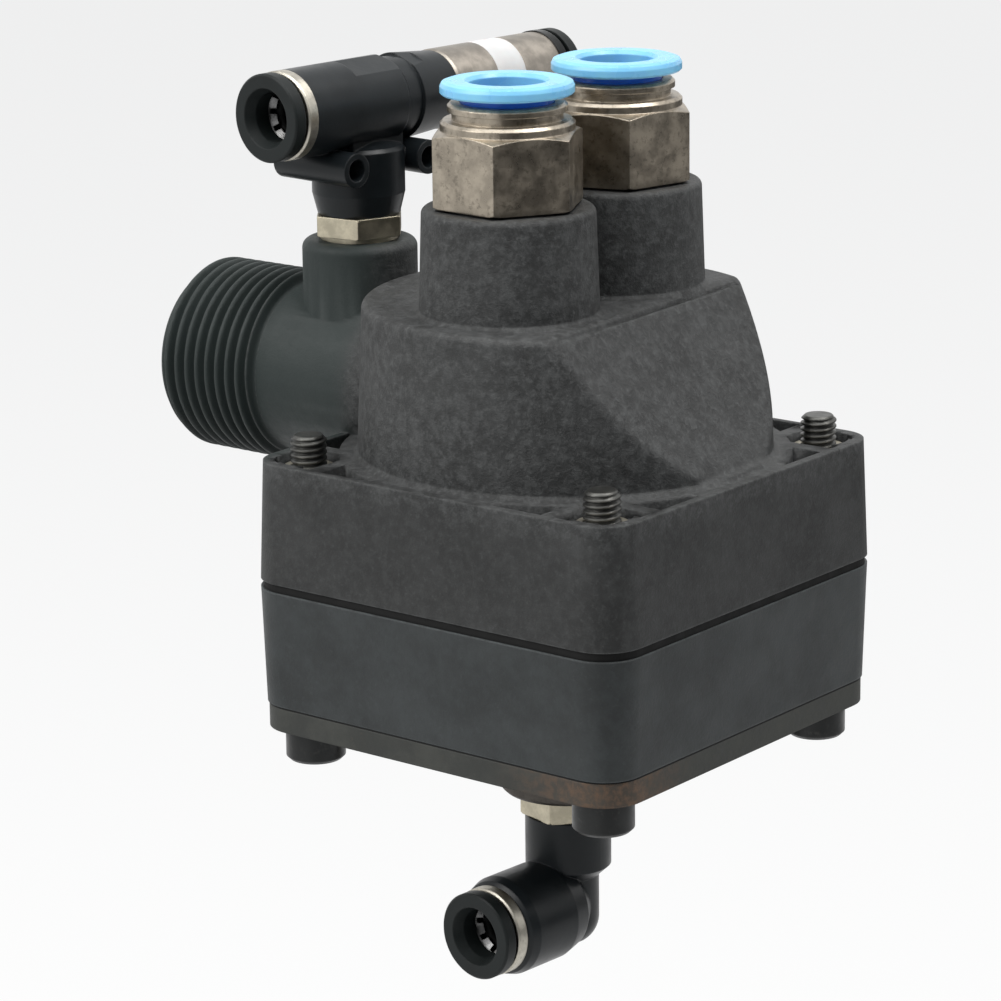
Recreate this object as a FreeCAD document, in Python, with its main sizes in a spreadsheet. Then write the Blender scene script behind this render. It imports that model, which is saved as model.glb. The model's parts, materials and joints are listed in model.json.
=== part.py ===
import FreeCAD, Part
import math
import os
import re

import Sketcher

# Pneumatic diaphragm valve with two tube inlets, a threaded outlet, a pilot elbow and a side tee.
# Millimetres, +Z up. The origin is the centre of the outlet's end face and +X runs into the valve.
# The housing is built on its own axis, with heights counted from the underside of the base plate.

Vector = FreeCAD.Vector

doc = FreeCAD.newDocument("pneumatic_valve")
sheet = doc.addObject("Spreadsheet::Sheet", "Sizes")

# Driving sizes: name, value, meaning
SIZES = (
    # Housing stack, from the base plate up
    ("plate_thickness", 4.0, "steel base plate"),
    ("gasket_thickness", 0.3, "fibre gasket on the plate"),
    ("lower_height", 19.8, "lower housing"),
    ("diaphragm_thickness", 1.4, "rubber sheet between the housings"),
    ("upper_height", 19.95, "square part of the upper housing"),
    ("half_width", 38.0, "housing at the seam, from the axis to a side"),
    ("plate_inset", 0.6, "sides of the plate inside the housing's"),
    ("diaphragm_inset", 0.3, "edge of the rubber sheet inside the housing's sides"),
    ("corner_radius", 7.0, "housing and plate corners"),
    ("lower_draft", 1.74, "lean of the lower walls, degrees"),
    ("upper_draft", 2.43, "lean of the upper walls, degrees"),
    ("chamber_radius", 29.0, "round chamber over and under the diaphragm"),
    # Screws through the corners
    ("screw_inset", 8.0, "screw axis from the housing's sides at the seam"),
    ("screw_radius", 3.0, "M6 screw"),
    ("screw_length", 49.5, "under the head"),
    ("screw_clearance", 0.3, "round a screw in a plain hole"),
    ("thread_clearance", 0.05, "round a threaded shank in its thread"),
    ("head_radius", 5.0, "cap screw head"),
    ("head_height", 6.0, "cap screw head"),
    ("socket_across", 5.0, "hexagon socket, across flats"),
    ("socket_depth", 3.0, "hexagon socket"),
    ("head_edge", 0.5, "bevel on the heads and tips of screws"),
    ("insert_radius", 4.2, "brass insert in a corner boss"),
    ("insert_length", 12.0, "brass insert in a corner boss"),
    ("insert_stand", 0.1, "insert above its boss"),
    # Top deck of the upper housing
    ("rim_wall", 1.55, "thin rim round the corner pockets"),
    ("deck_inset", 0.6, "round deck about the drum, inside the housing's sides"),
    ("pocket_depth", 8.0, "corner pockets"),
    ("rib_inner", 22.3, "near side of a deck rib, from the axis"),
    ("rib_width", 2.9, "deck rib"),
    ("boss_radius", 5.0, "corner boss round a screw"),
    ("boss_drop", 1.25, "boss top below the rim"),
    # Drum with its slanted side, and the two risers on it
    ("drum_height", 25.55, "deck to plateau"),
    ("drum_radius", 34.35, "at the deck"),
    ("drum_draft", 2.6, "lean of the drum's wall, degrees"),
    ("drum_wall", 4.8, "wall and roof over the chamber"),
    ("drum_edge", 1.4, "rounding of the plateau's edge"),
    ("drum_foot", 0.8, "bevel round the drum's foot on the deck"),
    ("slope_start", 16.0, "top of the slanted side, from the axis"),
    ("slope_angle", 55.4, "slanted side to the horizontal, degrees"),
    ("slope_turn", 3.5, "slanted side turned about the axis, degrees"),
    ("slope_edge", 2.4, "rounding of the slanted side's edge"),
    ("riser_offset", 14.5, "riser axis from the valve axis"),
    ("riser_radius", 14.0, "riser at its top"),
    ("riser_height", 17.3, "plateau to riser top"),
    ("riser_draft", 2.0, "lean of a riser's wall, degrees"),
    ("riser_edge", 1.0, "rounding of a riser's top"),
    ("riser_foot", 0.6, "bevel round a riser's foot on the plateau"),
    ("riser_passage", 7.0, "air passage under an inlet"),
    # Outlet: threaded spout, neck, bent duct and seat
    ("outlet_rise", 6.55, "outlet axis above the rim"),
    ("outlet_reach", 76.5, "end face to the valve axis"),
    ("thread_radius", 16.62, "outlet thread over its crests"),
    ("thread_length", 21.5, "outlet thread"),
    ("thread_lead", 1.2, "bevel on the end of the thread"),
    ("neck_radius", 14.9, "plain neck behind the thread"),
    ("outlet_bore", 12.5, "outlet passage"),
    ("duct_radius", 14.5, "outside of the duct in the chamber"),
    ("duct_bend", 16.0, "bend of the duct down to the seat"),
    # Tee boss on the neck
    ("tee_inset", 32.85, "outlet end face to the tee's axis"),
    ("tee_boss_radius", 9.8, "boss under the tee"),
    ("tee_boss_rise", 24.0, "boss top above the outlet axis"),
    ("tee_boss_edge", 1.6, "rounding of the boss top"),
    # Inlet fittings for the large tube
    ("large_tube", 6.0, "radius of the inlet tube"),
    ("inlet_thread", 8.33, "radius of the inlet thread"),
    ("inlet_thread_length", 11.0, "inlet thread"),
    ("inlet_across", 22.0, "inlet hexagon, across flats"),
    ("inlet_hex_height", 11.3, "inlet hexagon, to its bevel"),
    ("inlet_washer", 0.4, "sealing washer under the hexagon"),
    ("inlet_bevel", 0.8, "bevel over the hexagon"),
    ("inlet_bead_radius", 10.8, "bead over the hexagon"),
    ("inlet_bead_height", 1.6, "bead over the hexagon"),
    ("inlet_groove_radius", 8.9, "groove over the bead"),
    ("inlet_groove_height", 1.4, "groove over the bead"),
    ("inlet_lip_radius", 9.6, "lip of the cap ring"),
    ("inlet_lip_height", 1.4, "lip of the cap ring"),
    ("inlet_bore", 5.0, "passage in an inlet fitting"),
    ("inlet_socket_wall", 0.65, "wall of an inlet fitting round its grab ring"),
    ("front_hex_turn", -2.5, "front hexagon about its axis, degrees"),
    ("rear_hex_turn", 16.1, "rear hexagon about its axis, degrees"),
    ("large_collar_radius", 10.75, "flange of a release collar"),
    ("large_collar_flange", 2.2, "flange of a release collar"),
    ("large_collar_wall", 1.35, "sleeve of a release collar"),
    ("large_collar_travel", 1.2, "push of a release collar"),
    # Ports for the small tube, on the tee, the check valve and the elbow
    ("small_tube", 4.0, "radius of the pilot tube"),
    ("tube_clearance", 0.15, "round a tube in its port"),
    ("port_radius", 7.5, "cap ring and body of a port"),
    ("port_ring", 2.0, "visible length of a port's cap ring"),
    ("port_lip", 0.8, "lip of a port's cap ring"),
    ("port_spigot", 6.6, "end of a port's body in its cap ring"),
    ("port_socket", 5.9, "bore of a port's body for its grab ring"),
    ("port_step", 0.8, "grab ring's seat below the body's shoulder"),
    ("port_seal_depth", 3.2, "room for the tube seal"),
    ("port_tube_depth", 5.0, "grip of a port on its tube, below the seal"),
    ("port_bore", 3.0, "passage behind a port"),
    ("small_collar_radius", 7.4, "flange of a small release collar"),
    ("small_collar_mouth", 0.9, "bevel of a small release collar's bore"),
    ("small_collar_flange", 2.2, "flange of a small release collar"),
    ("small_collar_wall", 1.05, "sleeve of a small release collar"),
    ("small_collar_travel", 0.7, "push of a small release collar"),
    ("collar_edge", 0.3, "bevels of the release collars"),
    ("stop_gap", 0.05, "left between a collar and its stop"),
    ("sliding_gap", 0.1, "round a sleeve that slides"),
    ("fixed_gap", 0.04, "between pieces that are pressed together"),
    ("overcut", 1.0, "cutters run this far past what they cut"),
    ("grab_thickness", 0.4, "steel grab ring"),
    ("grab_depth", 1.1, "dip of the grab ring's teeth"),
    ("grab_slot", 0.9, "slot between two teeth"),
    # Swivel stems of the tee and the elbow
    ("stem_thread", 6.58, "radius of a stem's thread"),
    ("stem_thread_length", 9.0, "stem thread"),
    ("stem_across", 14.0, "stem hexagon, across flats"),
    ("tee_hex_height", 3.5, "tee stem's hexagon"),
    ("elbow_hex_height", 4.5, "elbow stem's hexagon"),
    ("stem_exposed", 0.8, "tee stem's thread left above its boss"),
    ("stem_spigot", 4.9, "radius of a stem's spigot"),
    ("stem_spigot_length", 9.5, "stem's spigot"),
    ("stem_bore", 3.2, "passage in a stem"),
    ("swivel_gap", 0.05, "round a spigot, and under a swivelling body"),
    ("stem_seal", 0.45, "section radius of a stem's seal"),
    ("tee_hex_turn", 8.4, "tee stem's hexagon about its axis, degrees"),
    ("elbow_hex_turn", -15.2, "elbow stem's hexagon about its axis, degrees"),
    # Tee body and the check valve in its far end
    ("tee_turn", -4.8, "run of the tee from the Y axis, degrees"),
    ("tee_height", 22.15, "stem hexagon to the run's axis"),
    ("branch_radius", 7.9, "branch of the tee"),
    ("branch_foot_radius", 7.0, "branch of the tee at its foot"),
    ("branch_taper", 3.6, "foot of the branch up to its full width"),
    ("branch_shoulder", 7.0, "top of the branch below the run's axis"),
    ("near_reach", 16.3, "branch axis to the near port's shoulder"),
    ("run_reach", 6.0, "branch axis to the far shoulder of the run"),
    ("waist_radius", 6.9, "waist behind the run's far shoulder"),
    ("waist_end", 9.0, "branch axis to the end of the waist"),
    ("far_radius", 7.4, "far section of the tee at the waist"),
    ("far_end_radius", 6.7, "far section of the tee at its end"),
    ("far_reach", 18.0, "branch axis to the end of the tee body"),
    ("flat_height", 6.95, "flat on the run, from its axis"),
    ("flat_lean", 20.0, "flat on the run from level, degrees"),
    ("flat_start", -5.0, "near end of the flat, from the branch axis"),
    ("flat_end", 12.0, "far end of the flat, from the branch axis"),
    ("eye_offset", 8.6, "mounting eye beside the branch axis"),
    ("eye_drop", 9.5, "mounting eye below the run's axis"),
    ("eye_radius", 2.9, "mounting eye"),
    ("eye_hole", 1.85, "screw hole in a mounting eye"),
    ("eye_front", 8.4, "front end of a mounting eye"),
    ("eye_back", 8.6, "back end of a mounting eye"),
    ("sleeve_radius", 6.9, "nickel sleeve of the check valve"),
    ("sleeve_length", 26.2, "nickel sleeve outside the tee"),
    ("sleeve_plug", 5.6, "radius of the sleeve's end in the tee"),
    ("sleeve_plug_length", 8.0, "sleeve's end in the tee"),
    ("band_start", 10.1, "white band from the tee's end"),
    ("band_width", 6.8, "white band"),
    ("band_thickness", 0.35, "white band"),
    ("check_cap_radius", 7.1, "black cap of the check valve"),
    ("check_bore", 5.1, "chamber of the poppet"),
    ("check_seat_bore", 2.6, "seat of the poppet"),
    ("check_seat_depth", 4.0, "seat from the tee's end, into the sleeve"),
    ("poppet_length", 6.0, "poppet, tip to skirt"),
    ("poppet_travel", 2.0, "lift of the poppet"),
    ("check_spring_wire", 0.3, "section radius of the check spring"),
    ("check_spring_radius", 3.6, "mean radius of the check spring"),
    ("check_chamber", 13.0, "seat to the spring's stop"),
    # Elbow under the plate
    ("bush_radius", 11.3, "port bush under the plate"),
    ("bush_drop", 13.3, "port bush below the plate"),
    ("bush_spigot", 8.5, "port bush in the plate"),
    ("elbow_turn", -4.5, "arm of the elbow from the Y axis, degrees"),
    ("elbow_neck_radius", 7.3, "top of the elbow body"),
    ("elbow_neck_length", 9.0, "top of the elbow body"),
    ("elbow_core_radius", 5.2, "upright under the neck"),
    ("elbow_taper", 2.0, "neck down to the upright"),
    ("elbow_drop", 20.45, "stem hexagon to the arm's axis"),
    ("elbow_reach", 18.5, "elbow axis to the arm's port shoulder"),
    ("elbow_arm_radius", 8.5, "arm of the elbow"),
    ("elbow_shoulder", 1.5, "rounding of the arm's outer end"),
    ("elbow_heel", 7.0, "arm's inner end, where it narrows to the upright"),
    # Diaphragm, its plates and the return spring
    ("lift", 6.5, "travel of the diaphragm"),
    ("disc_radius", 22.0, "support plates"),
    ("lower_disc", 2.4, "lower support plate"),
    ("upper_disc", 2.6, "upper support plate"),
    ("seal_radius", 16.5, "rubber seal disc"),
    ("seal_thickness", 3.0, "rubber seal disc"),
    ("washer_radius", 9.0, "washer on the seal"),
    ("washer_thickness", 1.5, "washer on the seal"),
    ("button_radius", 5.25, "head of the centre screw"),
    ("button_height", 3.3, "head of the centre screw"),
    ("nut_across", 10.0, "nut of the centre screw, across flats"),
    ("nut_height", 5.0, "nut of the centre screw"),
    ("spring_radius", 13.0, "mean radius of the return spring"),
    ("spring_wire", 1.1, "section radius of the return spring"),
)

for row, (name, value, meaning) in enumerate(SIZES, start=1):
    sheet.set(f"A{row}", name)
    sheet.set(f"B{row}", str(value))
    sheet.set(f"C{row}", meaning)
    sheet.setAlias(f"B{row}", name)
doc.recompute()

NAMES = {name for name, value, meaning in SIZES}

# Heights above the underside of the base plate
GASKET = "plate_thickness"
LOWER = GASKET + " + gasket_thickness"
SEAM = LOWER + " + lower_height"
UPPER = SEAM + " + diaphragm_thickness"
RIM = UPPER + " + upper_height"
PLATEAU = RIM + " + drum_height"
RISER_TOP = PLATEAU + " + riser_height"
OUTLET = RIM + " + outlet_rise"
SEAT = OUTLET + " - duct_bend"
TEE_BOSS_TOP = OUTLET + " + tee_boss_rise"
TEE_HEX = TEE_BOSS_TOP + " + stem_exposed"
TEE_RUN = TEE_HEX + " + tee_height"
ELBOW_HEX = "-(bush_drop + fixed_gap)"
ELBOW_ARM = ELBOW_HEX + " - elbow_drop"
BOSS_TOP = RIM + " - boss_drop"

# The diaphragm's plates, from the seat down
SEAL_BOTTOM = SEAT + " - seal_thickness"
UPPER_DISC_BOTTOM = SEAL_BOTTOM + " - upper_disc"
CENTRE_BOTTOM = UPPER_DISC_BOTTOM + " - diaphragm_thickness"
LOWER_DISC_BOTTOM = CENTRE_BOTTOM + " - lower_disc"


def linked(expression):
    """The expression with each size name pointing into the sheet."""
    def point(word):
        return "Sizes." + word.group() if word.group() in NAMES else word.group()
    return re.sub(r"[a-z_]+", point, expression)


def size(expression):
    """The expression's value now."""
    return float(sheet.evalExpression(expression))


def less(first, second):
    """The first expression minus the whole of the second."""
    return f"{first} - ({second})"


def bind(item, **expressions):
    """Ties properties of item to the sheet."""
    for name, expression in expressions.items():
        item.setExpression(name, linked(expression))


def place(item, x="0", y="0", z="0", axis=(0, 0, 1), turn="0"):
    """Puts item at x, y, z, turned about an axis, all of them tied to the sheet."""
    item.Placement = FreeCAD.Placement(Vector(0, 0, 0), FreeCAD.Rotation(Vector(*axis), 1))
    item.setExpression("Placement.Base.x", linked(x))
    item.setExpression("Placement.Base.y", linked(y))
    item.setExpression("Placement.Base.z", linked(z))
    item.setExpression("Placement.Rotation.Angle", linked(turn))
    return item


def on_valve_axis(item, y="0"):
    """Stands a piece of the housing on the valve axis."""
    return place(item, "outlet_reach", y, less("0", OUTLET))


def on_tee(item):
    """Puts a piece whose origin is the crossing of the tee's run and branch."""
    return place(item, "tee_inset", "0", less(TEE_RUN, OUTLET), turn="tee_turn")


def on_elbow(item):
    """Puts a piece whose origin is the crossing of the elbow's arm and upright."""
    return place(item, "outlet_reach", "0", less(ELBOW_ARM, OUTLET), turn="elbow_turn")


# Primitives, given by expressions

def upright(radius, bottom, top, x="0", y="0"):
    """A round bar along Z."""
    bar = doc.addObject("Part::Cylinder", "Upright")
    bind(bar, Radius=radius, Height=less(top, bottom))
    return place(bar, x, y, bottom)


def level(radius, start, end, y="0", z="0"):
    """A round bar along X."""
    bar = doc.addObject("Part::Cylinder", "Level")
    bind(bar, Radius=radius, Height=less(end, start))
    return place(bar, start, y, z, axis=(0, 1, 0), turn="90")


def taper(radius, draft, bottom, top, x="0", y="0"):
    """A round bar along Z that has the given radius at z = bottom and leans in by draft."""
    bar = doc.addObject("Part::Cone", "Taper")
    height = less(top, bottom)
    bind(bar, Radius1=radius, Height=height, Radius2=f"{radius} - ({height}) * tan({draft})")
    return place(bar, x, y, bottom)


def box(x0, x1, y0, y1, z0, z1):
    """A block between three pairs of faces."""
    block = doc.addObject("Part::Box", "Block")
    bind(block, Length=less(x1, x0), Width=less(y1, y0), Height=less(z1, z0))
    return place(block, x0, y0, z0)


def hexagon(across, bottom, top, turn="0", x="0", y="0"):
    """A hexagon bar along Z, with a corner at +X before it is turned."""
    bar = doc.addObject("Part::Prism", "Hexagon")
    bar.Polygon = 6
    bind(bar, Circumradius=f"({across}) / sqrt(3)", Height=less(top, bottom))
    return place(bar, x, y, bottom, turn=turn)


def ring(label, radius, section):
    """A round ring of round section about Z."""
    torus = doc.addObject("Part::Torus", label)
    torus.Label = label
    bind(torus, Radius1=radius, Radius2=section)
    return torus


def fuse(*items):
    joined = doc.addObject("Part::MultiFuse", "Joined")
    joined.Shapes = list(items)
    return joined


def cut(base, *tools):
    """What is left of base without the tools."""
    left = doc.addObject("Part::Cut", "Left")
    left.Base = base
    left.Tool = tools[0] if len(tools) == 1 else fuse(*tools)
    return left


def common(first, second):
    shared = doc.addObject("Part::Common", "Shared")
    shared.Base = first
    shared.Tool = second
    return shared


def rounded(base, *choices):
    """Rounds edges of base. Each choice is a radius and a test that picks its edges."""
    doc.recompute()
    fillet = doc.addObject("Part::Fillet", "Rounded")
    fillet.Base = base
    fillet.Edges = [
        (number, size(radius), size(radius))
        for number, edge in enumerate(base.Shape.Edges, start=1)
        for radius, chosen in choices
        if chosen(edge)
    ]
    return fillet


def named(item, label):
    item.Label = label
    return item


# Sketched bodies

def outline(body, plane, points):
    """A closed outline whose corners are pairs of expressions, on one of the body's planes."""
    sketch = body.newObject("Sketcher::SketchObject", "Outline")
    origin = [feature for feature in body.Origin.OriginFeatures if feature.Role == plane]
    sketch.AttachmentSupport = [(origin[0], "")]
    sketch.MapMode = "FlatFace"
    places = [Vector(size(across), size(along), 0) for across, along in points]
    count = len(places)
    for number, start in enumerate(places):
        sketch.addGeometry(Part.LineSegment(start, places[(number + 1) % count]), False)
    for number in range(count):
        following = (number + 1) % count
        sketch.addConstraint(Sketcher.Constraint("Coincident", number, 2, following, 1))
    for number, (across, along) in enumerate(points):
        for kind, expression, now in (
            ("DistanceX", across, places[number].x),
            ("DistanceY", along, places[number].y),
        ):
            index = sketch.addConstraint(Sketcher.Constraint(kind, -1, 1, number, 1, now))
            sketch.setExpression(f"Constraints[{index}]", linked(expression))
    return sketch


def turned(label, points, along_y=False):
    """A solid of revolution: corners are (radius, height), or (station, radius) when along Y."""
    body = doc.addObject("PartDesign::Body", label)
    body.Label = label
    sketch = outline(body, "YZ_Plane" if along_y else "XZ_Plane", points)
    solid = body.newObject("PartDesign::Revolution", "Turning")
    solid.Profile = sketch
    solid.ReferenceAxis = (sketch, ["H_Axis" if along_y else "V_Axis"])
    solid.Angle = 360
    return body


def square(label, half_width, corner, bottom, top, draft="0", shrink_down=False):
    """A square block with round corners. Its walls lean in by draft, upwards or downwards."""
    body = doc.addObject("PartDesign::Body", label)
    body.Label = label
    sketch = body.newObject("Sketcher::SketchObject", "Outline")
    origin = [feature for feature in body.Origin.OriginFeatures if feature.Role == "XY_Plane"]
    sketch.AttachmentSupport = [(origin[0], "")]
    sketch.MapMode = "FlatFace"
    sketch.setExpression("AttachmentOffset.Base.z", linked(top if shrink_down else bottom))
    reach = size(half_width)
    radius = size(corner)
    inner = reach - radius
    for quarter in range(4):
        spin = FreeCAD.Rotation(Vector(0, 0, 1), 90 * quarter)
        start = spin.multVec(Vector(reach, -inner, 0))
        end = spin.multVec(Vector(reach, inner, 0))
        centre = spin.multVec(Vector(inner, inner, 0))
        first = math.radians(90 * quarter)
        sketch.addGeometry(Part.LineSegment(start, end), False)
        circle = Part.Circle(centre, Vector(0, 0, 1), radius)
        sketch.addGeometry(Part.ArcOfCircle(circle, first, first + math.pi / 2), False)
    for quarter in range(4):
        line = 2 * quarter
        arc = line + 1
        sketch.addConstraint(Sketcher.Constraint("Tangent", line, 2, arc, 1))
        sketch.addConstraint(Sketcher.Constraint("Tangent", arc, 2, (line + 2) % 8, 1))
    for quarter, kind in enumerate(("Vertical", "Horizontal", "Vertical", "Horizontal")):
        sketch.addConstraint(Sketcher.Constraint(kind, 2 * quarter))
    for arc in (3, 5, 7):
        sketch.addConstraint(Sketcher.Constraint("Equal", 1, arc))
    for kind, line, sign in (
        ("DistanceX", 0, ""), ("DistanceY", 2, ""), ("DistanceX", 4, "-"), ("DistanceY", 6, "-")
    ):
        at = reach if sign == "" else -reach
        index = sketch.addConstraint(Sketcher.Constraint(kind, -1, 1, line, 1, at))
        sketch.setExpression(f"Constraints[{index}]", linked(f"{sign}({half_width})"))
    index = sketch.addConstraint(Sketcher.Constraint("Radius", 1, radius))
    sketch.setExpression(f"Constraints[{index}]", linked(corner))
    block = body.newObject("PartDesign::Pad", "Block")
    block.Profile = sketch
    block.Reversed = shrink_down
    bind(block, Length=less(top, bottom), TaperAngle=f"-({draft})")
    return body


SCREW_AT = "(half_width - screw_inset)"
SCREW_PLACES = [(across + SCREW_AT, along + SCREW_AT) for across in ("", "-") for along in ("", "-")]


def four(radius, bottom, top):
    """Four round bars at the screw places."""
    return fuse(*[upright(radius, bottom, top, x, y) for x, y in SCREW_PLACES])


# Base plate, its gasket and the lower housing

PLAIN_HOLE = "screw_radius + screw_clearance"
PLATE_HALF = "half_width - plate_inset"

plate = square("plate_blank", PLATE_HALF, "corner_radius", "0", GASKET)
plate = cut(
    plate,
    four(PLAIN_HOLE, "-overcut", GASKET + " + overcut"),
    upright("bush_spigot + fixed_gap", "-overcut", GASKET + " + overcut"),
)
on_valve_axis(named(plate, "base_plate"))

gasket = square("gasket_blank", PLATE_HALF, "corner_radius", GASKET, LOWER)
gasket = cut(
    gasket,
    four(PLAIN_HOLE, GASKET + " - overcut", LOWER + " + overcut"),
    upright("chamber_radius", GASKET + " - overcut", LOWER + " + overcut"),
)
on_valve_axis(named(gasket, "base_gasket"))

lower = square("lower_blank", "half_width", "corner_radius", LOWER, SEAM, "lower_draft", True)
lower = cut(
    lower,
    four(PLAIN_HOLE, LOWER + " - overcut", SEAM + " + overcut"),
    upright("chamber_radius", LOWER + " - overcut", SEAM + " + overcut"),
)
on_valve_axis(named(lower, "lower_body"))


# Upper housing: square part with its deck, drum, risers, neck and tee boss

BELOW_DECK = RIM + " - pocket_depth"
DRUM_FOOT_RADIUS = "drum_radius + pocket_depth * tan(drum_draft)"
ROOF = PLATEAU + " - drum_wall"
# How far the slope's inner face lies from its outer face, measured level
SLOPE_SHIFT = "drum_wall / sin(slope_angle)"
# Edges this near to where they are looked for count as found, in millimetres
CLOSE = 0.01


def slope_wedge(shift):
    """Everything on the outer side of the slanted side, moved level by shift."""
    top = PLATEAU + " + drum_wall"
    foot = UPPER
    body = doc.addObject("PartDesign::Body", "Wedge")
    lean = f"(({PLATEAU}) - ({foot})) / tan(slope_angle)"
    above = "drum_wall / tan(slope_angle)"
    sketch = outline(body, "XZ_Plane", (
        (f"slope_start - {above} + {shift}", top),
        (f"slope_start + {lean} + {shift}", foot),
        ("half_width * 2", foot),
        ("half_width * 2", top),
    ))
    block = body.newObject("PartDesign::Pad", "Block")
    block.Profile = sketch
    block.Midplane = True
    bind(block, Length="half_width * 4")
    return place(body, turn="slope_turn")


def on_slope(edge):
    """True for the long edges of the slanted side above the deck."""
    middle = edge.valueAt((edge.FirstParameter + edge.LastParameter) / 2)
    spin = math.radians(size("slope_turn"))
    across = middle.x * math.cos(spin) + middle.y * math.sin(spin)
    drop = size(PLATEAU) - middle.z
    expected = size("slope_start") + drop / math.tan(math.radians(size("slope_angle")))
    return abs(across - expected) < CLOSE and middle.z > size(BELOW_DECK) + CLOSE


def round_edge_at(height):
    """Picks the level round edges at one height."""
    def chosen(edge):
        bounds = edge.BoundBox
        if not isinstance(edge.Curve, Part.Circle) or bounds.ZLength > CLOSE:
            return False
        return abs(bounds.ZMin - size(height)) < CLOSE
    return chosen


drum = taper(DRUM_FOOT_RADIUS, "drum_draft", BELOW_DECK, PLATEAU)
drum = cut(drum, slope_wedge("0"))
drum = rounded(drum, ("slope_edge", on_slope), ("drum_edge", round_edge_at(PLATEAU)))

drum_foot = cut(
    taper("drum_radius + drum_foot * 2", "45", RIM + " - drum_foot", RIM + " + drum_foot"),
    slope_wedge("drum_foot / sin(slope_angle)"),
)

RISER_FOOT_RADIUS = "riser_radius + (riser_height + drum_wall) * tan(riser_draft)"
RISER_AT_PLATEAU = "riser_radius + riser_height * tan(riser_draft)"


def riser(y):
    bar = taper(RISER_FOOT_RADIUS, "riser_draft", ROOF, RISER_TOP, "0", y)
    return rounded(bar, ("riser_edge", round_edge_at(RISER_TOP)))


def riser_foot(y):
    low = PLATEAU + " - riser_foot"
    return taper(f"{RISER_AT_PLATEAU} + riser_foot * 2", "45", low, PLATEAU + " + riser_foot", "0", y)


risers = [form(y) for form in (riser, riser_foot) for y in ("-riser_offset", "riser_offset")]

SPOUT_END = "-outlet_reach"
THREAD_END = SPOUT_END + " + thread_length"
spout = turned("Spout", (
    ("0", SPOUT_END),
    ("thread_radius - thread_lead", SPOUT_END),
    ("thread_radius", SPOUT_END + " + thread_lead"),
    ("thread_radius", THREAD_END),
    ("neck_radius", THREAD_END),
    ("neck_radius", "-chamber_radius"),
    ("0", "-chamber_radius"),
))
place(spout, "0", "0", OUTLET, axis=(0, 1, 0), turn="90")

TEE_X = "tee_inset - outlet_reach"
tee_boss = upright("tee_boss_radius", OUTLET, TEE_BOSS_TOP, TEE_X)
tee_boss = rounded(tee_boss, ("tee_boss_edge", round_edge_at(TEE_BOSS_TOP)))

block = square("upper_blank", "half_width", "corner_radius", UPPER, RIM, "upper_draft")
RIM_HALF = "half_width - upper_height * tan(upper_draft)"
POCKET_HALF = f"{RIM_HALF} - rim_wall"
pockets = square("pocket_blank", POCKET_HALF, "corner_radius - rim_wall", BELOW_DECK, RIM + " + overcut")
RIB_OUTER = "rib_inner + rib_width"
FAR = "half_width"
DECK_SPAN = (BELOW_DECK + " - overcut", RIM + " + overcut * 2")
ribs = []
for low, high in (("rib_inner", RIB_OUTER), (f"-({RIB_OUTER})", "-rib_inner")):
    ribs.append(box(low, high, "-" + FAR, FAR, *DECK_SPAN))
    ribs.append(box("-" + FAR, FAR, low, high, *DECK_SPAN))
# Each corner boss runs on into the rim's two walls
WEB = "boss_radius / 2"
webs = []
for x, y in SCREW_PLACES:
    span_x = ("-" + FAR, x) if x.startswith("-") else (x, FAR)
    span_y = ("-" + FAR, y) if y.startswith("-") else (y, FAR)
    webs.append(box(*span_x, f"{y} - {WEB}", f"{y} + {WEB}", *DECK_SPAN))
    webs.append(box(f"{x} - {WEB}", f"{x} + {WEB}", *span_y, *DECK_SPAN))
pockets = cut(
    pockets,
    upright("half_width - deck_inset", *DECK_SPAN),
    four("boss_radius", *DECK_SPAN),
    *ribs,
    *webs,
)
block = cut(block, pockets, four("boss_radius", BOSS_TOP, RIM + " + overcut"))

chamber = cut(
    upright("chamber_radius", UPPER + " - overcut", ROOF),
    slope_wedge(f"-({SLOPE_SHIFT})"),
)

duct = doc.addObject("Part::Torus", "Duct")
duct.Angle3 = 90
bind(duct, Radius1="duct_bend", Radius2="duct_radius")
place(duct, "-duct_bend", "0", SEAT, axis=(1, 0, 0), turn="90")
duct_run = level("duct_radius", "-chamber_radius - drum_wall / 2", "-duct_bend", z=OUTLET)

bend = doc.addObject("Part::Torus", "Bend")
bend.Angle3 = 90
bind(bend, Radius1="duct_bend", Radius2="outlet_bore")
place(bend, "-duct_bend", "0", SEAT, axis=(1, 0, 0), turn="90")
seat_mouth = upright("outlet_bore", SEAT + " - overcut", SEAT)
bore = fuse(bend, seat_mouth, level("outlet_bore", SPOUT_END + " - overcut", "-duct_bend", z=OUTLET))

shell = fuse(drum, drum_foot, block, spout, tee_boss, *risers)
shell = cut(shell, chamber)
shell = fuse(shell, duct, duct_run)
THREAD_SOCKET = "inlet_thread + thread_clearance"
SOCKET_FLOOR = RISER_TOP + " - inlet_thread_length"
inlet_passages = []
for y in ("-riser_offset", "riser_offset"):
    inlet_passages.append(upright("riser_passage", ROOF + " - overcut", SOCKET_FLOOR + " + overcut", "0", y))
    inlet_passages.append(upright(THREAD_SOCKET, SOCKET_FLOOR, RISER_TOP + " + overcut", "0", y))
STEM_SOCKET = "stem_thread + thread_clearance"
upper = cut(
    shell,
    bore,
    *inlet_passages,
    upright(STEM_SOCKET, OUTLET, TEE_BOSS_TOP + " + overcut", TEE_X),
    four("insert_radius + fixed_gap", BOSS_TOP + " - insert_length", BOSS_TOP + " + overcut"),
    four(PLAIN_HOLE, UPPER + " - overcut", BOSS_TOP),
)
on_valve_axis(named(upper, "upper_body"))

inserts = cut(
    four("insert_radius", BOSS_TOP + " - insert_length", BOSS_TOP + " + insert_stand"),
    four("screw_radius + thread_clearance", UPPER, RIM + " + overcut"),
)
on_valve_axis(named(inserts, "threaded_inserts"))


# Cap screws, heads down under the plate

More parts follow.
